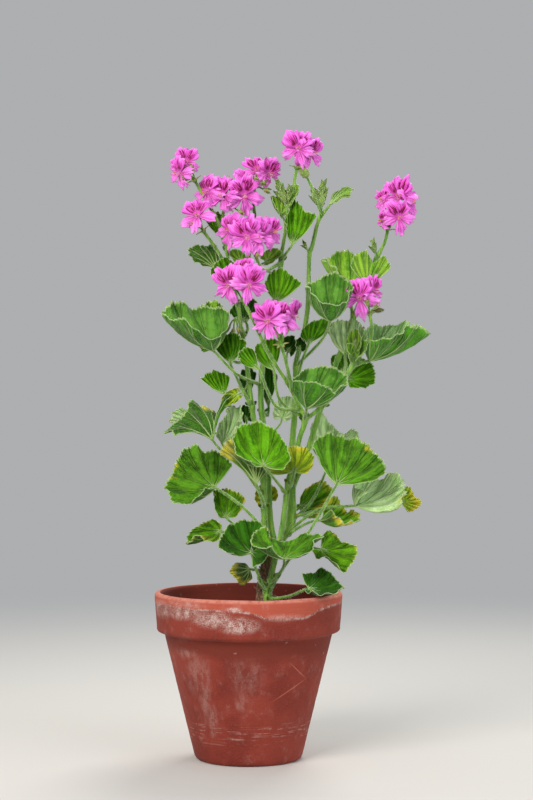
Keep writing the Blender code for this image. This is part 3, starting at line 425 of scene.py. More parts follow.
def leaf_skin(name, light, shade, vein, age, sheen, under):
    """Living leaf skin, softly hairy: satin, with palmate veins that fork towards the margin, a fine net
    between them, and a margin that yellows with age. The hairs give it a pale sheen at a glance. Its colour
    runs between a light and a shade colour, with painted light and shade of its pleats and quilting."""
    material, shader, make = new_material(name, 0.6 if under else 0.46, sheen, "#e6f2cc", specular=0.14)
    across, out, _ = make("parts", make("fan"))
    place = make("place")
    share = make("fract", make("multiply", across, float(VEINS)))
    cell = make("absolute", make("subtract", share, 0.5))
    main = make("rise", make("multiply", cell, out), 0.006, 0.036, 1.0, 0.0)
    spread = make("multiply", make("subtract", out, 0.3), 0.42)
    fork_line = make("absolute", make("subtract", cell, spread))
    fork = make("multiply", make("rise", make("multiply", fork_line, out), 0.004, 0.026, 1.0, 0.0),
                make("rise", out, 0.3, 0.42))
    # Net of small veins, 2.5 mm across, twice the real size so that it shows
    net = make("rise", make("crack", place, 400.0), 0.02, 0.14, 1.0, 0.0)
    mottle = make("noise", place, 70.0, 4.0, 0.55)
    veins = make("maximum", main, make("multiply", fork, 0.8))
    # Painted light and shade of the pleats: each strip between two veins is darker on one side and lighter on
    # the other, more so away from the base.
    painted_fold_shade = make("multiply", make("rise", share, 0.1, 0.9, -0.2, 0.2), make("rise", out, 0.1, 0.5))
    # The blade is quilted: it puffs up between its veins, and puckers in lines that run with them. Both raise
    # the bump, and both are also painted into the colour as light and shade: lighter where the blade puffs up,
    # lighter and darker along the puckers.
    nearest = make("minimum", cell, make("add", fork_line, make("rise", out, 0.42, 0.3)))
    puff = make("rise", make("multiply", nearest, out), 0.0, 0.085)
    wander = make("multiply", make("noise", place, 6.0, 0.0, 0.55), 12.0)
    puckers = make("noise", make("join", make("multiply", across, 46.0), make("multiply", out, 8.0), wander),
                   1.0, 3.0, 0.6)
    painted_quilt_light_and_shade = make("add", make("multiply", puff, 0.28), make("rise", puckers, 0.3, 0.7, -0.28, 0.3))
    # Random mottle together with the painted light and shade of the quilting and pleats, and lighter towards
    # the base. It runs the colour from the shade colour to the light one.
    mottle_and_painted_shade = make("add", make("add", make("rise", mottle, 0.3, 0.7), painted_quilt_light_and_shade),
                  make("add", painted_fold_shade, make("subtract", 0.08, make("multiply", out, 0.3))), use_clamp=True)
    colour = make("mix", mottle_and_painted_shade, shade, light)
    colour = make("mix", make("multiply", net, 0.16), colour, vein)
    colour = make("mix", make("multiply", veins, 0.42 if under else 0.34), colour, vein)
    if age:
        patchy = make("subtract", make("noise", place, 34.0, 4.0, 0.55), 0.5)
        worn = make("add", out, make("multiply", patchy, 1.3))
        yellow = make("multiply", make("rise", worn, 1.14 - age, 1.26 - age * 0.45), 0.9)
        yellow = make("multiply", yellow, make("subtract", 1.0, make("multiply", veins, 0.6)))
        colour = make("mix", yellow, colour, "#ecdb3e")
        if age > 0.25:
            colour = make("mix", make("rise", worn, 1.39 - age * 0.5, 1.5 - age * 0.5), colour, "#e08a34")
    side = make("multiply", make("minimum", across, make("subtract", 1.0, across)), out)
    rim = make("maximum", make("rise", out, 0.955, 0.985), make("rise", side, 0.0015, 0.007, 1.0, 0.0))
    colour = make("mix", make("multiply", rim, 0.7), colour, "#bcd98a")
    raised = make("multiply", make("add", veins, make("multiply", net, 0.35)), 1.0 if under else -1.0)
    fine = make("noise", place, 900.0, 2.0, 0.55)
    swell = make("multiply", make("add", puff, puckers), -0.9 if under else 0.9)
    height = make("add", make("add", raised, swell), make("multiply", fine, 0.4))
    surface(make, shader, colour, height, 0.0012, 1.0)
    return material


def leaf_edge(name):
    """Cut edge of a leaf blade: pale, from the fringe of hairs along the margin."""
    material, shader, make = new_material(name, 0.6, 0.8)
    shade = make("noise", make("place"), 300.0, 3.0, 0.55)
    surface(make, shader, make("mix", shade, "#9cc266", "#d3e6ae"))
    return material


def green_stem(name):
    """Soft green stem with a down of white hairs: matt, streaked along its length, pale at a glance."""
    material, shader, make = new_material(name, 0.5, 1.0, "#f4f8e6")
    shader.inputs["Sheen Roughness"].default_value = 0.22
    place = make("place")
    streak = make("noise", make("stretch", place, (1.0, 1.0, 0.12)), 260.0, 4.0, 0.6)
    colour = make("mix", make("rise", streak, 0.3, 0.7), "#477c12", "#8aba40")
    spots = make("rise", make("noise", place, 90.0, 3.0, 0.55), 0.63, 0.75, 0.0, 0.45)
    colour = make("mix", spots, colour, "#6e6a26")
    down = make("noise", place, 1400.0, 2.0, 0.55)
    surface(make, shader, colour, make("add", streak, make("multiply", down, 0.5)), 0.0004, 0.5)
    return material


def bark(name):
    """Corky bark of an old pelargonium stem: dry and matt, tan ridges over dark cracks."""
    material, shader, make = new_material(name, 0.85)
    place = make("place")
    ridges = make("noise", make("stretch", place, (1.0, 1.0, 0.35)), 330.0, 6.0, 0.65)
    plates = make("crack", make("stretch", place, (1.0, 1.0, 0.5)), 380.0)
    colour = make("mix", make("rise", ridges, 0.35, 0.65), "#4e3624", "#a67c60")
    colour = make("mix", make("rise", plates, 0.0, 0.12, 0.6, 0.0), colour, "#2a1b12")
    height = make("parts", place)[2]
    green = make("multiply", make("rise", height, 0.150, 0.205, 0.15, 0.65),
                 make("rise", make("noise", place, 120.0, 3.0, 0.55), 0.42, 0.6))
    colour = make("mix", green, colour, "#55661f")
    red = make("multiply", make("rise", height, 0.186, 0.197),
               make("rise", make("noise", place, 75.0, 3.0, 0.55), 0.48, 0.58, 0.0, 0.8))
    colour = make("mix", red, colour, "#8a3f33")
    surface(make, shader, colour, make("add", ridges, make("rise", plates, 0.0, 0.1)), 0.001, 0.9)
    return material


def terracotta(settings):
    """Unglazed red earthenware thrown on a wheel, weathered outdoors: quite matt, with turning lines, a
    lighter band above the old water line, and white lime bloom that has seeped out through the clay."""
    material, shader, make = new_material("terracotta, thrown and weathered", 0.88, 0.05, "#ffd9c8", 1.5,
                                          specular=0.3)
    place = make("place")
    x, y, z = make("parts", place)
    front = make("rise", y, 0.02, -0.03)
    cloud = make("noise", place, 26.0, 4.0, 0.55)
    body = make("mix", make("rise", cloud, 0.32, 0.68), "#74291f", (*settings.clay, 1.0))
    rising = make("rise", x, -0.02, 0.09)
    body = make("mix", make("multiply", rising, 0.35), body, "#8e3a2b")
    fine = make("noise", place, 800.0, 3.0, 0.7)
    body = make("mix", make("rise", fine, 0.4, 0.75, 0.0, 0.3), body, "#a85040")

    # The water line sags towards the front right and rises round both sides
    sag = make("multiply", patch(make, place, (38, -85, 152), (46, 70, 300)), 0.0085)
    wobble = make("multiply", make("subtract", make("noise", place, 30.0, 2.0, 0.55), 0.5), 0.006)
    line = make("subtract", make("add", z, wobble), make("subtract", 0.1565, sag))
    dry = make("rise", line, -0.0014, 0.0012)
    body = make("mix", make("multiply", dry, 0.85), body, "#b85743")
    salt = make("multiply", make("rise", make("absolute", make("add", line, 0.0006)), 0.0, 0.0022, 1.0, 0.0),
                make("rise", make("noise", place, 260.0, 4.0, 0.55), 0.34, 0.56))
    speckle = make("rise", make("noise", place, 1100.0, 3.0, 0.8), 0.47, 0.6)
    blotch = make("rise", make("noise", place, 120.0, 5.0, 0.65), 0.42, 0.62)

    # Lime bloom: band down the rim from the left to the middle, then faint patches and runs on the body
    bloom = patches(make, place, make("multiply", salt, make("multiply", front, 0.8)), (
        ((-9, -92, 142), (26, 40, 11), 1.0), ((-34, -86, 147), (30, 40, 11), 0.85),
        ((-62, -66, 152), (28, 40, 10), 0.8), ((-84, -36, 152), (20, 44, 12), 0.6),
        ((-14, -92, 157), (12, 40, 4), 0.9), ((-60, -70, 160), (34, 40, 5), 0.5),
        ((34, -84, 149), (26, 40, 5), 0.45), ((-78, 20, 150), (24, 60, 16), 0.7),
    ))
    crust = make("multiply", bloom, make("add", make("multiply", speckle, 0.75),
                                         make("multiply", blotch, 0.45)), use_clamp=True)
    haze = patches(make, place, 0.0, (
        ((-60, -55, 115), (16, 40, 14), 0.65), ((-2, -78, 92), (24, 60, 34), 0.26),
        ((-4, -66, 66), (12, 60, 14), 0.3), ((-42, -60, 75), (9, 50, 50), 0.36),
        ((-52, -56, 92), (12, 50, 30), 0.35), ((-34, -52, 45), (6, 50, 22), 0.55),
        ((60, 30, 80), (60, 60, 40), 0.35), ((-20, 75, 100), (50, 40, 40), 0.45),
    ))
    wisps = make("noise", make("stretch", place, (1.0, 1.0, 0.42)), 150.0, 7.0, 0.75)
    haze = make("multiply", haze, make("rise", wisps, 0.38, 0.62, 0.08, 0.8))
    haze = make("multiply", haze, make("rise", speckle, 0.0, 1.0, 0.45, 1.0))
    film = make("multiply", make("rise", make("noise", place, 60.0, 6.0, 0.7), 0.5, 0.72),
                make("rise", wisps, 0.4, 0.65, 0.0, 0.18))
    haze = make("maximum", haze, film)
    turned = make("noise", make("stretch", place, (0.05, 0.05, 1.0)), 640.0, 4.0, 0.65)
    rings = make("multiply", make("multiply", make("rise", turned, 0.52, 0.64),
                                  make("rise", make("noise", place, 110.0, 5.0, 0.7), 0.42, 0.6)),
                 patch(make, place, (0, 0, 32), (120, 120, 18)))
    white = make("maximum", make("maximum", crust, haze), make("multiply", rings, 0.5))
    colour = make("mix", make("multiply", white, settings.bloom, use_clamp=True), body, "#d9c4bb")
    # Painted highlight: the top of the lip is lighter, broken up by noise.
    painted_lip_highlight = make("multiply", make("rise", z, 0.1618, 0.1645),
               make("rise", make("noise", place, 210.0, 4.0, 0.55), 0.3, 0.6, 0.25, 0.8))
    colour = make("mix", painted_lip_highlight, colour, "#d68d7b")
    for start, end in (((41, 103), (56, 86)), ((57, 86), (24, 66))):
        way = Vector((end[0] - start[0], end[1] - start[1])).normalized()
        aside = make("multiply", make("subtract", x, start[0] * MM), -way.y)
        across = make("add", aside, make("multiply", make("subtract", z, start[1] * MM), way.x))
        middle = ((start[0] + end[0]) / 2, -60, (start[1] + end[1]) / 2)
        reach = math.dist(start, end) * 0.62
        scratch = make("multiply", make("rise", make("absolute", across), 0.0, 0.0007, 0.6, 0.0),
                       patch(make, place, middle, (reach, 60, reach)))
        colour = make("mix", scratch, colour, "#cf7f68")
    marks = make("rise", make("noise", place, 420.0, 2.0, 0.55), 0.72, 0.78, 0.0, 0.6)
    colour = make("mix", marks, colour, "#54211b")

    # Inside, the wall is damp and darker, with a few lime specks. Its radius grows with height at one rate
    # in the rim and at another one in the body
    radius = make("power", make("add", make("multiply", x, x), make("multiply", y, y)), 0.5)
    upper = make("add", 0.0683, make("multiply", z, 0.115))
    lower = make("add", 0.0424, make("multiply", z, 0.333))
    gap = make("subtract", radius, make("minimum", upper, lower))
    inside = make("multiply", make("rise", gap, 0.0018, 0.0008), make("rise", z, 0.011, 0.013))
    specks = make("rise", make("noise", place, 170.0, 2.0, 0.55), 0.68, 0.74, 0.0, 0.5)
    damp = make("mix", specks, "#762f23", "#b8978a")
    colour = make("mix", inside, colour, damp)
    height = make("add", make("multiply", fine, 0.4), make("add", turned, make("multiply", crust, 0.5)))
    surface(make, shader, colour, height, 0.0005, 0.6)
    return material


def potting_mix_material():
    """Peat and bark potting mix: dark, moist and matt, in crumbs of about 3 mm."""
    material, shader, make = new_material("potting mix, peat and bark", 0.95)
    place = make("place")
    crumbs = make("noise", place, 330.0, 6.0, 0.7)
    colour = make("mix", make("rise", crumbs, 0.35, 0.65), "#21160f", "#4d3828")
    chips = make("rise", make("noise", place, 140.0, 2.0, 0.55), 0.62, 0.68, 0.0, 0.6)
    surface(make, shader, make("mix", chips, colour, "#6d4d35"), crumbs, 0.0025, 1.0)
    return material


def petal(name, light, deep, tip, settings, marked):
    """Pelargonium petal: thin, soft and silky. Upper petals are feathered in dark crimson; the paler lower
    ones carry only fine veins near the throat."""
    material, shader, make = new_material(name, 0.6, 0.1, "#ffc8fa", subsurface=0.06, specular=0.2)
    shader.inputs["Subsurface Radius"].default_value = (1.0, 0.25, 0.9)
    across, out, _ = make("parts", make("fan"))
    place = make("place")
    side = make("absolute", make("subtract", across, 0.5))
    wander = make("multiply", make("noise", place, 8.0, 0.0, 0.55), 30.0)
    streaks = make("noise", make("join", make("multiply", across, 21.0), make("multiply", out, 1.2), wander),
                   1.0, 2.0, 0.5)
    colour = make("mix", make("rise", streaks, 0.35, 0.7), light, deep)
    colour = make("mix", make("rise", out, 0.72, 1.0, 0.0, 0.5), colour, tip)
    if marked:
        reach = make("add", out, make("multiply", make("power", side, 2.0), 2.2))
        fan = make("multiply", make("rise", out, 0.18, 0.3), make("rise", side, 0.24, 0.36, 1.0, 0.0))
        core = make("multiply", make("rise", make("add", out, make("multiply", side, 1.1)), 0.46, 0.6, 1.0,
                                     0.0), make("rise", streaks, 0.4, 0.5, 0.1, 1.0))
        rays = make("multiply", make("rise", reach, 0.68, 0.84, 1.0, 0.0), make("rise", streaks, 0.5, 0.55))
        feather = make("multiply", fan, make("maximum", core, rays))
        halo = make("multiply", make("multiply", fan, make("rise", reach, 0.6, 0.95, 1.0, 0.0)), 0.6)
        colour = make("mix", halo, colour, "#cf249c")
        colour = make("mix", feather, colour, (*settings.feather, 1.0))
    else:
        lines = make("multiply", make("rise", streaks, 0.52, 0.6), make("rise", out, 0.15, 0.75, 0.9, 0.0))
        colour = make("mix", lines, colour, "#c81f8e")
    # Painted shade towards the throat: the colour is multiplied by a deep magenta, by up to half near the
    # base, fading out towards the outer part of the petal.
    depth = make("multiply", make("rise", out, 0.1, 0.7, 1.0, 0.0), 0.5)
    colour = make("mix", depth, colour, "#c430a4", blend_type="MULTIPLY")
    throat = make("rise", out, 0.02, 0.16, 1.0, 0.0)
    colour = make("mix", make("multiply", throat, 0.8), colour, "#f7a3c8")
    surface(make, shader, colour, streaks, 0.0005, 0.6)
    return material


def sepal_green(name):
    """Downy sepals and bracts: light green with reddish-brown tips and streaks."""
    material, shader, make = new_material(name, 0.6, 0.6)
    out = make("parts", make("fan"))[1]
    place = make("place")
    streak = make("noise", place, 350.0, 3.0, 0.55)
    colour = make("mix", make("rise", streak, 0.35, 0.65), "#6f8f35", "#a9bd62")
    russet = make("add", make("rise", out, 0.35, 1.0, 0.0, 0.55),
                  make("multiply", make("rise", streak, 0.5, 0.7), 0.4))
    surface(make, shader, make("mix", russet, colour, "#9a5238"), streak, 0.0003, 0.5)
    return material


def plain_material(name, code, other, roughness, scale=500.0, sheen=0.0):
    """A small part of even colour with a fine mottle."""
    material, shader, make = new_material(name, roughness, sheen)
    mottle = make("noise", make("place"), scale, 3.0, 0.55)
    surface(make, shader, make("mix", make("rise", mottle, 0.35, 0.65), code, other), mottle, 0.0002, 0.4)
    return material


def finish_of(name, maker, *values):
    """The material of this name, made the first time that it is asked for."""
    return bpy.data.materials.get(name) or maker(name, *values)


def curve_through(points, step):
    """Evenly smooth points through the given ones, about this many millimetres apart."""
    p = [np.array(q, float) for q in points]
    p = [2 * p[0] - p[1], *p, 2 * p[-1] - p[-2]]
    curve = []
    for a, b, c, d in zip(p, p[1:], p[2:], p[3:]):
        for t in np.linspace(0, 1, max(1, int(np.linalg.norm((c - b)[:3]) / step)), endpoint=False):
            curve.append(0.5 * (2 * b + (c - a) * t + (2 * a - 5 * b + 4 * c - d) * t * t
                                + (3 * b - a - 3 * c + d) * t ** 3))
    return np.array([*curve, p[-2]])


def unit(vector):
    """Vectors of length 1 in the direction of these."""
    vector = np.asarray(vector, float)
    return vector / (np.linalg.norm(vector, axis=-1, keepdims=True) + 1e-12)


def stem_at(path, height):
    """The centre, radius and direction of a stem at this height."""
    line = np.array(STEM_PATHS[path], float)
    for low, high in zip(line, line[1:]):
        if low[2] <= height <= high[2]:
            here = low + (high - low) * (height - low[2]) / (high[2] - low[2])
            return here[:3], here[3], unit(high[:3] - low[:3])
    raise ValueError(f"{path} does not reach z = {height}")


class Shape:
    """Tubes and two-sided sheets in millimetres that are gathered into one mesh."""

    def __init__(self):
        self.points, self.uvs, self.faces, self.slots, self.count = [], [], [], [], 0

    def keep(self, points, uvs, faces, slots):
        self.points.append(points)
        self.uvs.append(uvs)
        self.faces += [tuple(i + self.count for i in face) for face in faces]
        self.slots += slots
        self.count += len(points)

    def tube(self, line, radii, sides, slot=0, rough=0.0, fineness=0.2):
        """A closed round tube along the points, turned as little as possible from ring to ring, whose skin
        wanders by up to the roughness."""
        line = np.array(line, float)
        radii = np.broadcast_to(radii, len(line))
        tangents = unit(np.gradient(line, axis=0))
        side = unit(np.cross(tangents[0], (0.3, 0.5, 0.81)))
        rings, turns = [], np.linspace(0, 2 * math.pi, sides, endpoint=False)
        for point, tangent, radius in zip(line, tangents, radii):
            side = unit(side - tangent * side.dot(tangent))
            other = np.cross(tangent, side)
            rings.append(point + radius * (np.cos(turns)[:, None] * side + np.sin(turns)[:, None] * other))
        if rough:
            for ring, point, radius in zip(rings, line, radii):
                ring += unit(ring - point) * [[rough * noise.noise(Vector(p) * fineness)] for p in ring]
        points = np.concatenate([*rings, line[:1] - tangents[0] * radii[0] * 0.3,
                                 line[-1:] + tangents[-1] * radii[-1] * 0.5])
        last = (len(line) - 1) * sides
        faces = []
        for ring in range(len(line) - 1):
            a = ring * sides
            faces += [(a + i, a + (i + 1) % sides, a + sides + (i + 1) % sides, a + sides + i)
                      for i in range(sides)]
        start, end = len(points) - 2, len(points) - 1
        faces += [(start, (i + 1) % sides, i) for i in range(sides)]
        faces += [(end, last + i, last + (i + 1) % sides) for i in range(sides)]
        uvs = np.zeros((len(points), 2))
        self.keep(points, uvs, faces, [slot] * len(faces))

    def sheet(self, grid, thickness, top=0, under=0, edge=0):
        """A closed thin solid about a grid of points, whose upper side is on the left of its rows."""
        rows, columns = grid.shape[:2]
        normals = unit(np.cross(np.gradient(grid, axis=1), np.gradient(grid, axis=0)))
        v, u = np.meshgrid(np.linspace(0, 1, rows), np.linspace(0, 1, columns), indexing="ij")
        half = normals * thickness / 2 * (1 - 0.35 * v[..., None])
        points = np.concatenate([(grid + half).reshape(-1, 3), (grid - half).reshape(-1, 3)])
        uvs = np.stack([u, v], -1).reshape(-1, 2)
        n, faces, slots = rows * columns, [], []
        for r in range(rows - 1):
            for c in range(columns - 1):
                a, b = r * columns + c, (r + 1) * columns + c
                faces += [(a, a + 1, b + 1, b), (n + a, n + b, n + b + 1, n + a + 1)]
                slots += [top, under]
        border = [*range(columns)] + [r * columns + columns - 1 for r in range(1, rows)]
        border += [n - 1 - c for c in range(1, columns)] + [r * columns for r in range(rows - 2, 0, -1)]
        for a, b in zip(border, border[1:] + border[:1]):
            faces.append((b, a, a + n, b + n))
            slots.append(edge)
        self.keep(points, np.concatenate([uvs, uvs]), faces, slots)

    def hairs(self, roots, out, along, lengths, slot, width=0.4):
        """Flat pointed hairs that stand outwards from their roots, each broad along the skin."""
        across = np.cross(out, along)
        tips = roots + out * lengths[:, None]
        corners = np.stack([roots - along * width / 2, roots + along * width / 2, roots + across * 0.12,
                            tips], 1)
        faces = [(k + p, k + q, k + r) for k in range(0, len(roots) * 4, 4)
                 for p, q, r in ((0, 1, 3), (1, 2, 3), (2, 0, 3), (0, 2, 1))]
        self.keep(corners.reshape(-1, 3), np.zeros((len(roots) * 4, 2)), faces, [slot] * len(faces))

    def down(self, line, radii, rng, slot, length=1.15, spacing=0.6, gap=2.4):
        """The white down of a stem: rows of hairs round a tube along the line."""
        line = np.array(line, float)
        radii = np.broadcast_to(radii, len(line))
        distance = np.concatenate([[0], np.cumsum(np.linalg.norm(np.diff(line, axis=0), axis=1))])
        rows = max(6, round(2 * math.pi * radii.mean() / gap))
        count = max(2, int(distance[-1] / spacing))
        numbers = np.random.default_rng(rng.randrange(10 ** 6))
        index = np.arange(rows * count)
        at = (index % count + numbers.random(len(index))) / count * distance[-1]
        turn = (index // count + numbers.random(len(index)) * 0.8) / rows * 2 * math.pi
        centre, way = (np.stack([np.interp(at, distance, data[:, i]) for i in range(3)], -1)
                       for data in (line, np.gradient(line, axis=0)))
        way = unit(way)
        side = unit(np.cross(way, (0.3, 0.5, 0.81)))
        out = np.cos(turn)[:, None] * side + np.sin(turn)[:, None] * np.cross(way, side)
        out = unit(out + way * (numbers.random((len(index), 1)) - 0.4) * 0.7)
        roots = centre + out * (np.interp(at, distance, radii) * 0.94)[:, None]
        self.hairs(roots, out, way, length * (0.6 + 0.7 * numbers.random(len(index))), slot)

    def fringe(self, edge, inner, rng, slot, length=0.8):
        """Hairs in the plane of a blade along its edge, pointing away from the line inside it."""
        numbers = np.random.default_rng(rng.randrange(10 ** 6))
        out = unit(edge - inner)
        share = numbers.random((len(edge), 1)) * 0.5
        roots, out = edge - out * 0.15, unit(out + (numbers.random(edge.shape) - 0.5) * 0.5)
        along = unit(np.gradient(edge, axis=0))
        roots = roots + along * (share - 0.25)
        self.hairs(roots, out, along, length * (0.5 + 0.8 * numbers.random(len(edge))), slot, 0.45)

    def build(self, name, materials, record_slot, *stands_for):
        """Makes the piece, with its materials, and sets it in the frame."""
        mesh = bpy.data.meshes.new(name)
        points = np.concatenate(self.points) * MM
        mesh.from_pydata(points.tolist(), [], self.faces)
        for material in materials:
            mesh.materials.append(material)
        mesh.polygons.foreach_set("material_index", self.slots)
        mesh.polygons.foreach_set("use_smooth", [True] * len(self.faces))
        loops = np.empty(len(mesh.loops), np.int32)
        mesh.loops.foreach_get("vertex_index", loops)
        layer = mesh.uv_layers.new(name="fan")
        layer.data.foreach_set("uv", np.concatenate(self.uvs)[loops].ravel())
        mesh.update()
        obj = bpy.data.objects.new(name, mesh)
        bpy.context.collection.objects.link(obj)
        return place_piece(obj, record_slot, *stands_for)


def place_piece(obj, record_slot, *stands_for):
    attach(obj, "root")
    if stands_for:
        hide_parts(*stands_for)
    return obj


def leaf_grid(base, rim, dish, rng, pleat, wave, tooth):
    """A pleated fan from the base to the rim, which runs anticlockwise as seen from its upper side."""
    base = np.array(base, float)
    rim = curve_through(rim, 1.0)[::-1]
    along = np.concatenate([[0], np.cumsum(np.linalg.norm(np.diff(rim, axis=0), axis=1))])
    teeth = max(1, round(along[-1] / VEINS / 4.2))
    columns = VEINS * teeth * 5 + 1
    u = np.linspace(0, 1, columns)
    rim = np.stack([np.interp(u * along[-1], along, rim[:, i]) for i in range(3)], -1)
    reach = rim - base
    length = np.linalg.norm(reach, axis=1)
    rows = int(min(30, max(9, length.mean() / 1.9)))
    wide = max(2, columns // 9)
    ahead = reach[np.minimum(np.arange(columns) + wide, columns - 1)]
    behind = reach[np.maximum(np.arange(columns) - wide, 0)]
    up = unit(np.cross(ahead, behind))
    kernel = np.ones(2 * wide + 1) / (2 * wide + 1)
    up = unit(np.stack([np.convolve(np.pad(up[:, i], wide, "edge"), kernel, "valid") for i in range(3)], -1))
    v = np.linspace(0.03, 1, rows)[:, None]
    cell = np.abs((u * VEINS) % 1 - 0.5) * 2
    notch = 1 - np.abs(np.sin(math.pi * u * VEINS * teeth)) ** 0.8
    depths = (0.6 + 0.8 * np.array([noise.noise((c * 0.31, 7.0,
                                                 float(base[0]))) + 0.5 for c in range(columns)]))
    edge = np.clip((v - 0.86) / 0.14, 0, 1) ** 1.5
    tooth *= min(1.0, 0.45 + length.mean() / 60)
    stretch = 1 + 0.05 * np.clip(v - 0.4, 0, 1) * (1 - cell) - edge * notch * depths * tooth
    ridge = pleat * v ** 1.2 * (1.1 - 0.4 * v) * (cell ** 1.3 - 0.4)
    swing = rng.random() * 6.28
    wave *= min(1.0, length.mean() / 32)
    frill = wave * v ** 3 * (np.sin(math.pi * u * VEINS + swing)
                             + 0.6 * np.sin(2.6 * math.pi * u * VEINS + swing * 2))
    bowl = -dish * 4 * v * (1 - v)
    grid = base + reach * (v * stretch)[..., None] + up * ((ridge + frill + bowl) * length)[..., None]
    rough = np.array([[noise.noise(Vector(p) * 0.11) + 0.5 * noise.noise(Vector(p) * 0.3) for p in row]
                      for row in grid])
    return grid + up * (rough * (0.2 + 0.8 * v))[..., None]


def stalk_to(path, height, points, start_radius, end_radius, step=4.0):
    """Points and radii of a stalk that grows out of a stem's side and runs through the points."""
    centre, stem_radius, along = stem_at(path, height)
    towards = unit(np.array(points[0], float) - centre)
    side = unit(towards - along * towards.dot(along))
    line = curve_through([centre + side * stem_radius * 0.4, *points], step)
    share = np.linspace(0, 1, len(line))
    radii = start_radius + (end_radius - start_radius) * share + 0.7 * np.exp(-share * len(line) / 1.2)
    return line, radii


def spoke(side, other, turn):
    """The way out from an axis at this turn, between two directions across it."""
    return side * math.cos(turn) + other * math.sin(turn)


def pointed_scale(shape, root, direction, up, length, width, slot=0, cup=0.2, curl=0.0):
    """A small pointed leaf, such as a sepal, bract or stipule."""
    direction = unit(direction)
    up = np.array(up, float)
    up = unit(up - direction * up.dot(direction))
    across = np.cross(direction, up)
    s, v = np.meshgrid(np.linspace(-1, 1, 5), np.linspace(0, 1, 7))
    wide = width / 2 * (0.35 + 1.3 * v) * (1 - v) ** 0.75 * 1.25 + width * 0.03
    grid = (np.array(root, float) + direction * (v * length)[..., None] + across * (s * wide)[..., None]
            + up * ((s ** 2 * cup * width) + curl * length * v ** 2)[..., None])
    shape.sheet(grid, 0.35, slot, slot, slot)


def folded_leaflet(shape, root, direction, up, length, width):
    """A young leaf still folded along its middle, with a toothed downy margin."""
    direction = unit(direction)
    up = unit(up - direction * np.dot(up, direction))
    across = np.cross(direction, up)
    s, v = np.meshgrid(np.linspace(-1, 1, 9), np.linspace(0, 1, 10))
    wide = width / 2 * (0.3 + 0.9 * np.sin(math.pi * np.clip(v, 0, 1) ** 0.8)) * (1 - 0.35 * v ** 3)
    wide = wide * (1 + 0.16 * np.sin(v * 21))
    grid = (np.array(root, float) + direction * (v * length * (1 - 0.1 * s ** 2))[..., None]
            + across * (np.sign(s) * np.abs(s) ** 1.2 * wide * 0.62)[..., None]
            + up * (np.abs(s) * wide + 0.12 * length * v ** 2)[..., None])
    shape.sheet(grid, 0.45, 0, 1, 2)


def petal_grid(length, width, lift, curl, rng, broad_from, fray):
    """A petal in its own axes: across, out from the throat, and forward."""
    s, v = np.meshgrid(np.linspace(-1, 1, 17), np.linspace(0, 1, 15))
    opening = np.clip(v / broad_from, 0, 1)
    broad = 0.12 + 0.88 * opening ** 1.4 * (2.2 - 1.2 * opening)
    seed = rng.random() * 50
    ragged = np.array([[noise.noise((a * 3.1, seed, b * 0.6)) for a, b in zip(sa, va)] for sa,
                       va in zip(s, v)])
    ripple = np.array([[noise.noise((a * 2.2, b * 2.2, seed + 9)) for a, b in zip(sa, va)]
                       for sa, va in zip(s, v)])
    tip = np.clip((v - 0.55) / 0.45, 0, 1)
    y = length * v * (1 - 0.24 * s ** 2 * tip + fray * (ragged - 0.1) * tip)
    x = width / 2 * broad * s * (1 - 0.12 * tip ** 2 + 0.2 * ragged * v)
    z = length * (lift * v - curl * v ** 2 - 0.1 * s ** 2 * v + 0.34 * ripple * v ** 1.2
                  + 0.05 * np.sin(s * 8 + seed) * v ** 2 - 0.05 * (1 - np.abs(s)) * v)
    return x, y, z


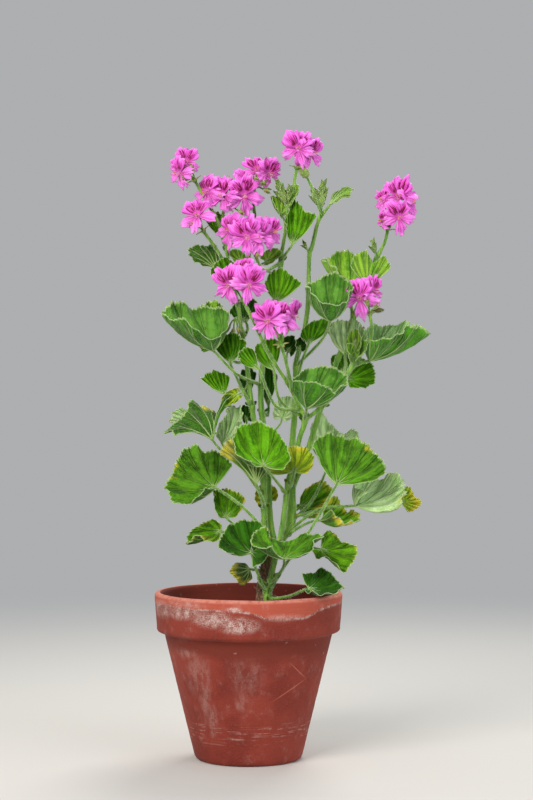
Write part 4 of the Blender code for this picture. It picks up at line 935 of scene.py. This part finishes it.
def build_flower(petals, greens, root, centre, facing, radius, rng):
    """One flower with its calyx, spur, stamens and pedicel, facing its own way."""
    centre, root = np.array(centre, float), np.array(root, float)
    axis = unit(facing)
    up = np.array((0, 0, 1.0)) - axis * axis[2]
    up = unit(up if np.linalg.norm(up) > 0.3 else np.array((0, -1.0, 0)) + axis * axis[1])
    tilt = (rng.random() - 0.5) * 0.5
    across = np.cross(up, axis)
    up, across = spoke(up, across, tilt), spoke(across, -up, tilt)
    throat = centre - axis * radius * 0.36
    for angle, size, width, kind in ((25, 1.24, 0.98, 0), (-25, 1.24, 0.98, 0), (106, 1.16, 0.72, 1),
                                     (-106, 1.16, 0.72, 1), (180, 1.22, 0.66, 1)):
        turn = math.radians(angle + (rng.random() - 0.5) * 18)
        out = spoke(up, across, turn)
        wide = np.cross(out, axis)
        lift = (0.66 if kind == 0 else 0.5) + (rng.random() - 0.5) * 0.3
        size *= 0.94 + rng.random() * 0.14
        x, y, z = petal_grid(radius * size, radius * size * width, lift, 0.42 + rng.random() * 0.3, rng,
                             0.62 if kind == 0 else 0.72, 0.24 if kind == 0 else 0.32)
        grid = throat + wide * x[..., None] + out * y[...,
                                                      None] + axis * (z + (0.8 if kind == 0 else 0.0))[...,
                                                                                                       None]
        petals.sheet(grid, 0.25, kind, 2, 2)
    for i in range(5):
        turn = math.radians(i * 72 + 36)
        out = spoke(up, across, turn)
        pointed_scale(greens, throat - axis * 2.6 + out * 1.1, axis * 0.25 + out * (1.0 + rng.random() * 0.4),
                      axis, radius * 0.6, radius * 0.2, 1, 0.15, -0.25)
    neck = throat - axis * radius * 0.45
    spur = np.array([neck - axis, neck, throat - axis * 2.0, throat - axis * 0.7])
    greens.tube(spur, [1.0, 1.35, 1.8, 1.1], 8, 1)
    line = curve_through([root, (root + neck) / 2 + (neck - root).dot(axis) * axis * 0.1, neck - axis,
                          neck + axis], 2.0)
    greens.tube(line, np.linspace(0.75, 1.15, len(line)), 6, 0)
    for i in range(6):
        turn = rng.random() * 6.28
        out = spoke(up, across, turn)
        tip = throat + axis * radius * (0.42 + rng.random() * 0.2) + out * radius * 0.14 - up * radius * 0.08
        petals.tube(curve_through([throat, throat + axis * radius * 0.25 + out * 0.5, tip], 1.5), 0.22, 4, 3)
        petals.tube([tip - up * 0.3, tip + axis * 0.3, tip + up * 0.8], [0.3, 0.55, 0.3], 5, 4)


def seeded(name):
    """A random generator that depends only on the name."""
    return random.Random("pelargonium " + name)


def leaf_materials(tone):
    """The skins of a leaf of this tone: upper side, underside, margin and stalk."""
    light, shade, under_light, under_shade, vein, age, sheen = TONES[tone]
    return [
        finish_of(f"leaf skin, {tone}, upper side", leaf_skin, light, shade, vein, age, sheen, False),
        finish_of(f"leaf skin, {tone}, underside", leaf_skin, under_light, under_shade, vein, age, 0.35, True),
        finish_of("hairy leaf margin, pale", leaf_edge),
        finish_of("herbaceous stem, downy green", green_stem),
        plant_hair(),
    ]


def plant_hair():
    """Silky white plant hairs, fewer and many times thicker than real ones so that they show as a pale
    outline."""
    return finish_of("plant hairs, silky white", plain_material, "#eef6e0", "#d2e4b4", 0.5)


def green_parts():
    """The materials of stalks with sepals: stem skin, sepals and hairs."""
    return [finish_of("herbaceous stem, downy green", green_stem),
            finish_of("sepals, downy green and russet", sepal_green), plant_hair()]


def add_blade(shape, grid, rng, base_thickness=0.55):
    """A leaf blade with raised ribs under its main veins and a fringe of hairs."""
    shape.sheet(grid, base_thickness, 0, 1, 2)
    for edge, inner in ((grid[-1], grid[-2]), (grid[2:, 0], grid[2:, 1]), (grid[2:, -1], grid[2:, -2])):
        shape.fringe(edge, inner, rng, 4)
    rows, columns = grid.shape[:2]
    normals = unit(np.cross(np.gradient(grid, axis=1), np.gradient(grid, axis=0)))
    for k in range(VEINS):
        column = min(columns - 1, round((k + 0.5) / VEINS * (columns - 1)))
        last = max(3, int(rows * 0.86))
        line = grid[:last, column] - normals[:last, column] * 0.25
        shape.tube(line, np.linspace(0.85, 0.15, last), 5, 1)


def build_leaf(settings, name, stem, height, via, base, dish, tone, rim):
    """A leaf with its stalk and stipules, and its material slot in the record."""
    if name in CLOSED_CUPS:
        rim = [*rim, rim[0]]
    rng = seeded(name)
    grid = leaf_grid(base, rim, dish, rng, settings.pleat, settings.wave, settings.tooth)
    shape = Shape()
    add_blade(shape, grid, rng)
    inside = grid[2, grid.shape[1] // 2]
    line, radii = stalk_to(stem, height, [*via, base, inside], 1.4, 1.05)
    shape.tube(line, radii, 9, 3)
    shape.down(line, radii, rng, 4)
    centre, radius, along = stem_at(stem, height)
    out = unit(line[1] - centre)
    side = np.cross(along, out)
    for turn in (1, -1):
        pointed_scale(shape, centre + (side * turn + out * 0.4) * radius * 0.8,
                      side * turn + along * 0.9 + out * 0.5, out, 6.0, 4.0, 0, 0.2, 0.15)
    return shape, leaf_slot(tone)


def nearest_stem(point):
    """The point on a stem's centre line that is nearest to this one."""
    lines = np.concatenate([curve_through(path, 2.0)[:, :3] for path in STEM_PATHS.values()])
    return lines[np.argmin(np.linalg.norm(lines - point, axis=1))]


def leaf_slot(tone):
    return {"pale": "leaf_pale", "yellow": "leaf_ageing", "orange": "leaf_ageing",
            "ageing": "leaf_ageing"}.get(tone, "leaf_green")


class PotSettings(bpy.types.PropertyGroup):
    """The terracotta pot and its weathering."""

    sides: bpy.props.IntProperty(name="Sides", description="Faces round the pot", default=144, min=32)
    wobble: bpy.props.FloatProperty(
        name="Wobble", description="How far the hand-thrown wall wanders from a true circle",
        default=0.00035, min=0.0, max=0.002, unit="LENGTH")
    clay: bpy.props.FloatVectorProperty(
        name="Clay", description="Colour of the fired clay", default=linear("#8d382b")[:3],
        size=3, subtype="COLOR", min=0.0, max=1.0)
    bloom: bpy.props.FloatProperty(
        name="Bloom", description="Strength of the white lime bloom", default=1.0, min=0.0, max=1.5,
        subtype="FACTOR")
    mix_level: bpy.props.FloatProperty(
        name="Mix level", description="Height of the potting mix above the ground",
        default=MIX_BOX[1][2], min=0.05, max=0.16, unit="LENGTH")
    crumbs: bpy.props.IntProperty(name="Crumbs", description="Loose crumbs on the mix", default=260, min=0)


class PlantSettings(bpy.types.PropertyGroup):
    """The plant's foliage and flowers."""

    pleat: bpy.props.FloatProperty(
        name="Pleat", description="Depth of the folds between a leaf's veins, as a share of its length",
        default=0.062, min=0.0, max=0.2, subtype="FACTOR")
    wave: bpy.props.FloatProperty(
        name="Wave", description="Height of the waves along a leaf's margin, as a share of its length",
        default=0.07, min=0.0, max=0.2, subtype="FACTOR")
    tooth: bpy.props.FloatProperty(
        name="Tooth", description="Depth of the margin's rounded teeth, as a share of the leaf's length",
        default=0.045, min=0.0, max=0.1, subtype="FACTOR")
    feather: bpy.props.FloatVectorProperty(
        name="Feather", description="Colour of the feathering on the upper petals",
        default=linear("#760636")[:3], size=3, subtype="COLOR", min=0.0, max=1.0)


class StageSettings(bpy.types.PropertyGroup):
    """Floor, lights and camera."""

    key_power: bpy.props.FloatProperty(
        name="Key", description="Power of the main soft light", default=38.0, min=0.0, unit="POWER")
    world_strength: bpy.props.FloatProperty(
        name="Surroundings", description="Brightness of the pale surroundings", default=0.5, min=0.0)
    lens: bpy.props.FloatProperty(
        name="Lens", description="Focal length in millimetres", default=85.0, min=20.0)
    distance: bpy.props.FloatProperty(
        name="Distance", description="How far in front of the pot's axis the camera stands",
        default=1.889, min=0.5, unit="LENGTH")


def turned(name, profile, sides):
    """Draws a disc up and in through the profile's (radius, height) points in millimetres, ring by ring."""
    (radius, height), *rest = profile
    bpy.ops.object.select_all(action="DESELECT")
    bpy.ops.mesh.primitive_circle_add(vertices=sides, radius=radius * MM, fill_type="NGON",
                                      location=(0, 0, height * MM))
    obj = bpy.context.object
    obj.name = obj.data.name = name
    bpy.ops.object.mode_set(mode="EDIT")
    bpy.ops.mesh.select_all(action="SELECT")
    for next_radius, next_height in rest:
        bpy.ops.mesh.extrude_region_move(
            TRANSFORM_OT_translate={"value": (0, 0, (next_height - height) * MM)})
        share = next_radius / radius
        bpy.ops.transform.resize(value=(share, share, 1), center_override=(0, 0, next_height * MM))
        radius, height = next_radius, next_height
    bpy.ops.mesh.select_all(action="SELECT")
    bpy.ops.mesh.normals_make_consistent(inside=False)
    bpy.ops.object.mode_set(mode="OBJECT")
    bpy.ops.object.transform_apply(location=True, rotation=True, scale=True)
    return obj


def smooth(obj, material, angle):
    """Gives a turned piece its material, and smooth shading up to this angle in degrees."""
    bpy.ops.object.select_all(action="DESELECT")
    obj.select_set(True)
    bpy.context.view_layer.objects.active = obj
    bpy.ops.object.shade_smooth_by_angle(angle=math.radians(angle))
    obj.data.materials.clear()
    obj.data.materials.append(material)


def fine_profile(corners, step):
    """The same profile with points no further apart than the step."""
    fine = [corners[0]]
    for a, b in zip(corners, corners[1:]):
        count = max(1, math.ceil(math.dist(a, b) / step))
        fine += [(a[0] + (b[0] - a[0]) * i / count, a[1] + (b[1] - a[1]) * i / count)
                 for i in range(1, count + 1)]
    return fine


class PELARGONIUM_OT_pot(bpy.types.Operator):
    """Make the terracotta pot"""

    bl_idname = "pelargonium.pot"
    bl_label = "Pot"

    def execute(self, context):
        settings = context.scene.pelargonium_pot
        rim = POT_BOX[1][0] / MM
        top = POT_BOX[1][2] / MM
        foot = top - RIM_BAND
        slope = FLARE / foot
        corners = [
            (2, 1.6), (44, 1.6), (46, 0.3), (50.5, 0), (52.2, 0.5), (53.3, 1.7), (FOOT_RADIUS + slope * 4, 4),
            (FOOT_RADIUS + FLARE, foot - 2.6), (84.9, foot - 1.4), (87.4, foot - 0.4), (89.6, foot),
            (90.9, foot + 0.7), (91.6, foot + 2.2), (91.7, foot + 4), (rim - 0.1, top - 6), (rim, top - 4),
            (rim - 0.3, top - 2.2), (rim - 1.2, top - 0.9), (rim - 2.6, top - 0.2), (rim - 4, top),
            (rim - 5.4, top - 0.3), (rim - 6.5, top - 1.3), (rim - 7, top - 3), (rim - 7.3, top - 6),
            (82, foot - 4), (47.5, 15.5), (46, 13.2), (43.5, 12), (2, 12),
        ]
        pot = turned("pot", fine_profile(corners, 2.6), settings.sides)
        for point in pot.data.vertices:
            place = point.co
            radius = math.hypot(place.x, place.y)
            if radius < 0.030:
                continue
            way = Vector((place.x, place.y, 0)) / radius
            wander = noise.noise(way * 1.4 + Vector((0, 0, place.z * 7))) * settings.wobble * 1.6
            rings = noise.noise(Vector((0, 0, place.z * 260)) + way * 0.35) * settings.wobble * 0.45
            pits = noise.noise(place * 130) * settings.wobble * 0.3
            point.co = place + way * (wander + rings + pits - settings.wobble * 0.5)
            if place.z > 0.160:
                point.co.z += noise.noise(way * 2.1) * settings.wobble * 1.2 - settings.wobble * 0.4
        for i in range(DRAIN_HOLES):
            turn = 2 * math.pi * (i + 0.25) / DRAIN_HOLES
            bpy.ops.mesh.primitive_cylinder_add(
                vertices=24, radius=DRAIN_RADIUS * MM, depth=0.03,
                location=(DRAIN_CIRCLE * MM * math.cos(turn), DRAIN_CIRCLE * MM * math.sin(turn), 0.006))
            drill = context.object
            cut = pot.modifiers.new("drain", "BOOLEAN")
            cut.operation, cut.object, cut.solver = "DIFFERENCE", drill, "EXACT"
            context.view_layer.objects.active = pot
            bpy.ops.object.modifier_apply(modifier=cut.name)
            bpy.data.objects.remove(drill)
        smooth(pot, terracotta(settings), 50)
        place_piece(pot, "terracotta", "pot")
        return {"FINISHED"}


class PELARGONIUM_OT_potting_mix(bpy.types.Operator):
    """Make the potting mix and the loose crumbs on it"""

    bl_idname = "pelargonium.potting_mix"
    bl_label = "Potting mix"

    def execute(self, context):
        settings = context.scene.pelargonium_pot
        level = settings.mix_level / MM
        side = MIX_BOX[1][0] / MM
        corners = [(2, 12.45), (43, 12.45), (46.6, 15.6), (side - 0.2, level - 2.5),
                   (side - 1.2, level - 0.5), (side - 3.5, level), (1, level)]
        mix = turned("potting_mix", fine_profile(corners, 1.8), 120)
        for point in mix.data.vertices:
            if point.co.z > (level - 3.0) * MM:
                lump = noise.noise(point.co * 45) * 2.2 + noise.noise(point.co * 140) * 1.5 + noise.noise(
                    point.co * 380) * 0.8
                edge = math.hypot(point.co.x, point.co.y) / MM
                keep = min(1.0, max(0.0, (side - edge) / 6))
                point.co.z += (lump - 0.4) * MM * keep
        smooth(mix, potting_mix_material(), 180)
        place_piece(mix, "potting_mix", "potting_mix")

        # One crumb, modelled once and scattered over the mix in many sizes
        bpy.ops.mesh.primitive_ico_sphere_add(subdivisions=2, radius=1.0)
        ball = context.object
        points = np.array([v.co[:] for v in ball.data.vertices])
        faces = [tuple(f.vertices) for f in ball.data.polygons]
        bpy.data.objects.remove(ball)
        rng = seeded("crumbs")
        crumbs = Shape()
        for _ in range(settings.crumbs):
            far, turn = math.sqrt(rng.random()) * (side - 5), rng.random() * 6.283
            size = 0.9 + 2.3 * rng.random() ** 3
            shift = Vector((rng.random() * 90, 0, 0))
            bumps = np.array([1 + 0.45 * noise.noise(Vector(p) * 1.3 + shift) for p in points])[:, None]
            squash = np.array([0.7 + rng.random() * 0.9, 0.6 + rng.random() * 0.6, 0.5 + rng.random() * 0.4])
            lump = points * bumps * squash * size
            spin = rng.random() * 6.283
            c, s = math.cos(spin), math.sin(spin)
            lump = lump @ np.array([[c, s, 0], [-s, c, 0], [0, 0, 1.0]])
            lump = lump + (far * math.cos(turn), far * math.sin(turn), level + size * 0.25)
            crumbs.keep(lump, np.zeros((len(lump), 2)), faces, [0] * len(faces))
        crumbs.build("potting_mix_crumbs", [bpy.data.materials["potting mix, peat and bark"]], "potting_mix",
                     "potting_mix")
        return {"FINISHED"}


class PELARGONIUM_OT_stems(bpy.types.Operator):
    """Make the woody trunk and the green stems with their joints"""

    bl_idname = "pelargonium.stems"
    bl_label = "Stems"

    def execute(self, context):
        joints = {path: [] for path in STEM_PATHS}
        for row in (*LEAVES, *FLOWER_HEADS):
            joints[row[1]].append(row[2])
        for name, paths in STEMS.items():
            woody = name == "woody_trunk"
            shape = Shape()
            for path in paths:
                points = list(STEM_PATHS[path])
                if points[0][2] < 160:
                    x, y, _, radius = points[0]
                    points.insert(0, (x, y, 136.0, radius * 1.25))
                line = curve_through(points, 1.2 if woody else 1.6)
                radii = line[:, 3] * (1.0 if woody else 0.9)
                for height in joints[path]:
                    radii += (0.55 if woody else 0.6) * np.exp(-((line[:, 2] - height + 1.5) / 3.2) ** 2)
                shape.tube(line[:, :3], radii, 20 if woody else 14, 0, 1.6 if woody else 0.35,
                           0.14 if woody else 0.2)
                if not woody:
                    shape.down(line[:, :3], radii, seeded(path), 1)
            if woody:
                materials = [finish_of("pelargonium bark, corky brown", bark)]
            else:
                materials = [finish_of("herbaceous stem, downy green", green_stem), plant_hair()]
            shape.build(name, materials, "bark" if woody else "green_stem", name)
        return {"FINISHED"}


class PELARGONIUM_OT_leaves(bpy.types.Operator):
    """Make the leaves, each with its stalk and its two stipules"""

    bl_idname = "pelargonium.leaves"
    bl_label = "Leaves"

    def execute(self, context):
        for row in (*LEAVES, *MORE_LEAVES):
            shape, slot = build_leaf(context.scene.pelargonium_plant, *row)
            shape.build(row[0], leaf_materials(row[6]), slot, *([row[0]] if row in LEAVES else []))
        return {"FINISHED"}


class PELARGONIUM_OT_young_leaves(bpy.types.Operator):
    """Make the small young leaves at the tips and joints"""

    bl_idname = "pelargonium.young_leaves"
    bl_label = "Young leaves"

    def execute(self, context):
        for i, (base, tip, upper, width, tone) in enumerate(YOUNG_LEAVES, 1):
            name = f"young_leaf_{i:02d}"
            base, tip = np.array(base, float), np.array(tip, float)
            out = tip - base
            length = np.linalg.norm(out)
            up = np.array(upper, float)
            up = unit(up - unit(out) * up.dot(unit(out)))
            right = np.cross(unit(out), up)
            heart = base + out * 0.25
            rim = [heart + out * (0.25 + 0.5 * math.cos(turn)) * 1.02
                   - right * math.sin(turn) * length * width * 0.5 + up * abs(math.sin(turn)) * length * 0.16
                   for turn in np.linspace(-2.5, 2.5, 11)]
            shape, rng = Shape(), seeded(name)
            grid = leaf_grid(heart, rim, 0.1, rng, 0.075, 0.06, 0.06)
            add_blade(shape, grid, rng, 0.5)
            line = curve_through([nearest_stem(base - unit(out) * 16), base, heart,
                                  grid[2, grid.shape[1] // 2]], 1.5)
            shape.tube(line, np.linspace(1.0, 0.8, len(line)), 7, 3)
            shape.down(line, 0.9, rng, 4, 0.9)
            shape.build(name, leaf_materials(tone), leaf_slot(tone))
        for i, (root, way, length, spread, count) in enumerate(TIPS, 1):
            name = f"growing_tip_{i:02d}"
            rng, tip = seeded(name), Shape()
            root, way = np.array(root, float), unit(way)
            line = curve_through([root - way * 2, root + way * length * 0.3, root + way * length * 0.6], 2.0)
            tip.tube(line, np.linspace(1.3, 0.8, len(line)), 8, 3)
            tip.down(line, 1.1, rng, 4, 1.3)
            side = unit(np.cross(way, (0.2, 1.0, 0.1)))
            for k in range(count):
                turn, up_by = k * 2.4, (k + 0.5) / count
                out = spoke(side, np.cross(way, side), turn)
                size = length * (0.5 - 0.14 * up_by + 0.1 * rng.random())
                folded_leaflet(tip, root + way * length * (0.12 + 0.52 * up_by) + out * 0.8,
                               way + out * spread * (1.9 - 1.1 * up_by), way * 0.4 - out, size, size * 0.62)
            tip.build(name, leaf_materials("tip"), "leaf_green")
        return {"FINISHED"}


class PELARGONIUM_OT_flower_heads(bpy.types.Operator):
    """Make the umbels of flowers, with their stalks, bracts and calyces"""

    bl_idname = "pelargonium.flower_heads"
    bl_label = "Flower heads"

    def execute(self, context):
        settings = context.scene.pelargonium_plant
        petals_of = [
            petal("upper petal, feathered pink", "#fb80ee", "#d63fbe", "#fda6f6", settings, True),
            petal("lower petal, clear pink", "#fc92f0", "#de52c6", "#feb4f7", settings, False),
            petal("back of a petal, silky pink", "#f67ee4", "#e05acc", "#fb9af0", settings, False),
            plain_material("stamen filament, pale", "#f3c6dd", "#e59ac0", 0.5),
            plain_material("anther, orange pollen", "#c8662c", "#e09a4c", 0.8, 900.0),
        ]
        greens_of = green_parts()
        for name, stem, height, via, umbel, flowers in FLOWER_HEADS:
            rng = seeded(name)
            petals, greens = Shape(), Shape()
            umbel = np.array(umbel, float)
            line, radii = stalk_to(stem, height, [*via, umbel], 1.7, 1.45)
            greens.tube(line, radii, 10, 0)
            greens.down(line, radii, rng, 2)
            along = unit(line[-1] - line[-3])
            greens.tube([umbel - along * 2.2, umbel - along, umbel + along * 0.8], [1.6, 2.5, 1.9], 10, 0)
            side = unit(np.cross(along, (0.4, 1.0, 0.1)))
            for i in range(6):
                turn = i * 1.05 + rng.random() * 0.5
                out = spoke(side, np.cross(along, side), turn)
                pointed_scale(greens, umbel + out * 1.6 - along * 0.8, along * 0.6 + out, along, 6.5, 3.6, 1,
                              0.2, -0.3)
            for centre, facing, radius in flowers:
                build_flower(petals, greens, umbel, centre, facing, radius, rng)
            petals.build(f"{name}_petals", petals_of, "flowers", name)
            greens.build(f"{name}_stalks", greens_of, "green_stem", name)
        return {"FINISHED"}


def build_small_bud(greens, root, tip, rng, size=1.0):
    """A closed flower bud in its sepals, on a thin pedicel."""
    line = curve_through([root, (root + tip) / 2 + np.array([0, 0, 1.5]), tip], 2.0)
    greens.tube(line, np.linspace(0.75, 0.9, len(line)), 6, 0)
    way = unit(tip - root)
    body = np.array([tip + way * step * size for step in (-1.0, 0.5, 2.5, 4.5, 6.5, 7.8)])
    greens.tube(body, np.array([0.9, 1.7, 2.2, 1.9, 1.0, 0.3]) * size, 9, 1)
    side = unit(np.cross(way, (0.3, 0.9, 0.2)))
    for i in range(5):
        turn = i * 2 * math.pi / 5 + rng.random() * 0.2
        out = spoke(side, np.cross(way, side), turn)
        pointed_scale(greens, tip + (out * 1.7 + way * 0.8) * size, way + out * 0.12, out, 8.0 * size,
                      2.6 * size, 1, 0.1)


class PELARGONIUM_OT_buds(bpy.types.Operator):
    """Make the unopened bud, the drooping cluster of buds and the seed pod"""

    bl_idname = "pelargonium.buds"
    bl_label = "Buds"

    def execute(self, context):
        materials = green_parts()
        rng = seeded("buds")
        bud = Shape()
        line = curve_through([*BUD_STALK, BUD_CENTRE], 2.0)
        bud.tube(line, 1.25, 10, 0)
        bud.down(line, 1.25, rng, 2)
        centre = np.array(BUD_CENTRE, float)
        way = unit(centre - np.array(BUD_STALK[-1], float))
        body = np.array([centre + way * BUD_LENGTH * along for along in (-0.5, -0.36, -0.15, 0.08, 0.3, 0.45,
                                                                         0.53)])
        bud.tube(body, np.array([0.3, 0.72, 0.98, 1.0, 0.72, 0.35, 0.1]) * BUD_RADIUS, 14, 1)
        side = unit(np.cross(way, (0.3, 0.9, 0.2)))
        for i in range(7):
            turn = i * 2 * math.pi / 7
            out = spoke(side, np.cross(way, side), turn)
            pointed_scale(bud, centre - way * BUD_LENGTH * 0.42 + out * BUD_RADIUS * 0.7, way + out * 0.12,
                          out, BUD_LENGTH * 1.12, BUD_RADIUS, 1, -0.1, -0.22)
        bud.build("flower_bud", materials, "bud", "flower_bud")

        cluster = Shape()
        stalk = curve_through([(-3, 2, 421), (-8, -1, 432), (-12, -1, 439), (-15, -2, 436)], 2.0)
        cluster.tube(stalk, 1.2, 8, 0)
        cluster.down(stalk, 1.2, rng, 2)
        for tip in ((-19, -4, 431), (-15, -6, 428), (-11, -4, 430)):
            build_small_bud(cluster, stalk[-2], np.array(tip, float), rng, 0.85)
        cluster.build("bud_cluster_drooping", materials, "bud")

        spent = Shape()
        for root, tips, size in (
            ((6, 18, 571), ((7, -4, 576), (13, -2, 573), (16, 0, 567)), 1.15),
            ((120, -22, 443), ((118, -26, 450),), 0.85), ((120, -22, 442), ((124, -27, 447),), 0.85),
            ((-23, 10, 553), ((-15, 0, 544), (-10, 0, 546)), 0.85),
            ((3, -28, 509), ((1, -33, 501), (7, -33, 502)), 0.85),
            ((-54, 3, 577), ((-60, -2, 578), (-56, -4, 584)), 1.15),
            ((-45, -12, 525), ((-48, -17, 528), (-53, -17, 529)), 0.85),
            ((32, -46, 411), ((29, -50, 419), (36, -50, 421)), 0.85),
        ):
            for tip in tips:
                build_small_bud(spent, np.array(root, float), np.array(tip, float), rng, size)
        spent.build("calyces_spent", materials, "bud")

        pod = Shape()
        pod.tube(curve_through([(120, -21, 442), (122, -23, 445), (124.5, -24, 445.5)], 1.0), 0.9, 8, 0)
        body = np.array([(123.5 + step, -24, 445.4 + step * 0.06) for step in (0, 1, 2.6, 5, 7.4, 9.4, 10.6)])
        pod.tube(body, [0.9, 1.9, 2.6, 2.8, 2.4, 1.4, 0.4], 12, 1)
        pod.down(body, [0.9, 1.9, 2.6, 2.8, 2.4, 1.4, 0.4], rng, 2, 1.0)
        pod.build("seed_pod",
                  [materials[0], plain_material("seed pod, dark and downy", "#3d3414", "#6c6a2c", 0.6, 600.0,
                                                0.8), materials[2]], "bud")
        return {"FINISHED"}


class PELARGONIUM_OT_stage(bpy.types.Operator):
    """Make the floor, the lights and the camera"""

    bl_idname = "pelargonium.stage"
    bl_label = "Stage"

    def execute(self, context):
        settings = context.scene.pelargonium_stage
        context.scene.view_settings.view_transform = "Standard"
        bpy.ops.mesh.primitive_plane_add(size=40.0, location=(0, 0, -0.0002))
        floor = context.object
        floor.name = "floor"
        material, shader, make = new_material("floor, plain pale matt", 0.9)
        shader.inputs["Base Color"].default_value = linear("#d4d2ce")
        # Far from the plant the floor passes into the colour of the surroundings, with no horizon
        far = make("rise", make("length", make("place")), 0.25, 1.7)
        mixed = make("mix shader", far, shader.outputs[0],
                     make("glow", SURROUNDINGS, settings.world_strength))
        tree = material.node_tree
        tree.links.new(mixed, tree.nodes["Material Output"].inputs[0])
        floor.data.materials.append(material)

        world = bpy.data.worlds.new("pale surroundings")
        context.scene.world = world
        world.use_nodes = True
        sky = world.node_tree.nodes["Background"]
        sky.inputs["Color"].default_value = linear(SURROUNDINGS)
        sky.inputs["Strength"].default_value = settings.world_strength
        for name, place, aim, size, power, tint in (
            ("key", (-0.9, -1.6, 1.5), (0.02, 0, 0.33), 1.1, settings.key_power, "#fffaf3"),
            ("fill", (1.6, -1.3, 0.8), (0.02, 0, 0.3), 1.4, settings.key_power * 0.35, "#f4f8ff"),
            ("back", (0.5, 1.3, 1.7), (0.02, 0, 0.4), 1.0, settings.key_power * 0.6, "#fffdf6"),
        ):
            lamp = bpy.data.lights.new(name, "AREA")
            lamp.energy, lamp.size, lamp.color = power, size, linear(tint)[:3]
            light = bpy.data.objects.new(name, lamp)
            light.location = place
            light.rotation_euler = (Vector(aim) - Vector(place)).to_track_quat("-Z", "Y").to_euler()
            context.collection.objects.link(light)

        camera = bpy.data.objects.new("camera", bpy.data.cameras.new("camera"))
        camera.data.lens = settings.lens
        camera.data.sensor_width = 36.0
        camera.data.dof.use_dof = False
        camera.location = (0.0178, -settings.distance, 0.357)
        camera.rotation_euler = (math.pi / 2, 0, 0)
        context.collection.objects.link(camera)
        context.scene.camera = camera
        return {"FINISHED"}


class PELARGONIUM_PT_panel(bpy.types.Panel):
    """Panel with a button for each piece or group of pieces"""

    bl_idname = "PELARGONIUM_PT_panel"
    bl_label = "Pelargonium"
    bl_space_type = "VIEW_3D"
    bl_region_type = "UI"
    bl_category = "Pelargonium"

    def draw(self, context):
        scene = context.scene
        for settings in (scene.pelargonium_pot, scene.pelargonium_plant, scene.pelargonium_stage):
            box = self.layout.box()
            for key in settings.__annotations__:
                box.prop(settings, key)
        for operator in OPERATORS:
            self.layout.operator(operator.bl_idname)


OPERATORS = (PELARGONIUM_OT_pot, PELARGONIUM_OT_potting_mix, PELARGONIUM_OT_stems, PELARGONIUM_OT_leaves,
             PELARGONIUM_OT_young_leaves, PELARGONIUM_OT_flower_heads, PELARGONIUM_OT_buds,
             PELARGONIUM_OT_stage)
GROUPS = {"pelargonium_pot": PotSettings, "pelargonium_plant": PlantSettings,
          "pelargonium_stage": StageSettings}


def register():
    for kind in (*GROUPS.values(), *OPERATORS, PELARGONIUM_PT_panel):
        bpy.utils.register_class(kind)
    for key, kind in GROUPS.items():
        setattr(bpy.types.Scene, key, bpy.props.PointerProperty(type=kind))


def unregister():
    for key in GROUPS:
        delattr(bpy.types.Scene, key)
    for kind in (PELARGONIUM_PT_panel, *reversed(OPERATORS), *GROUPS.values()):
        bpy.utils.unregister_class(kind)


def main():
    register()
    bpy.ops.object.select_all(action="DESELECT")
    for operator in OPERATORS:
        group, action = operator.bl_idname.split(".")
        if getattr(getattr(bpy.ops, group), action)() != {"FINISHED"}:
            raise RuntimeError(f"{operator.bl_idname} did not finish")
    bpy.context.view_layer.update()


if __name__ == "__main__":
    main()
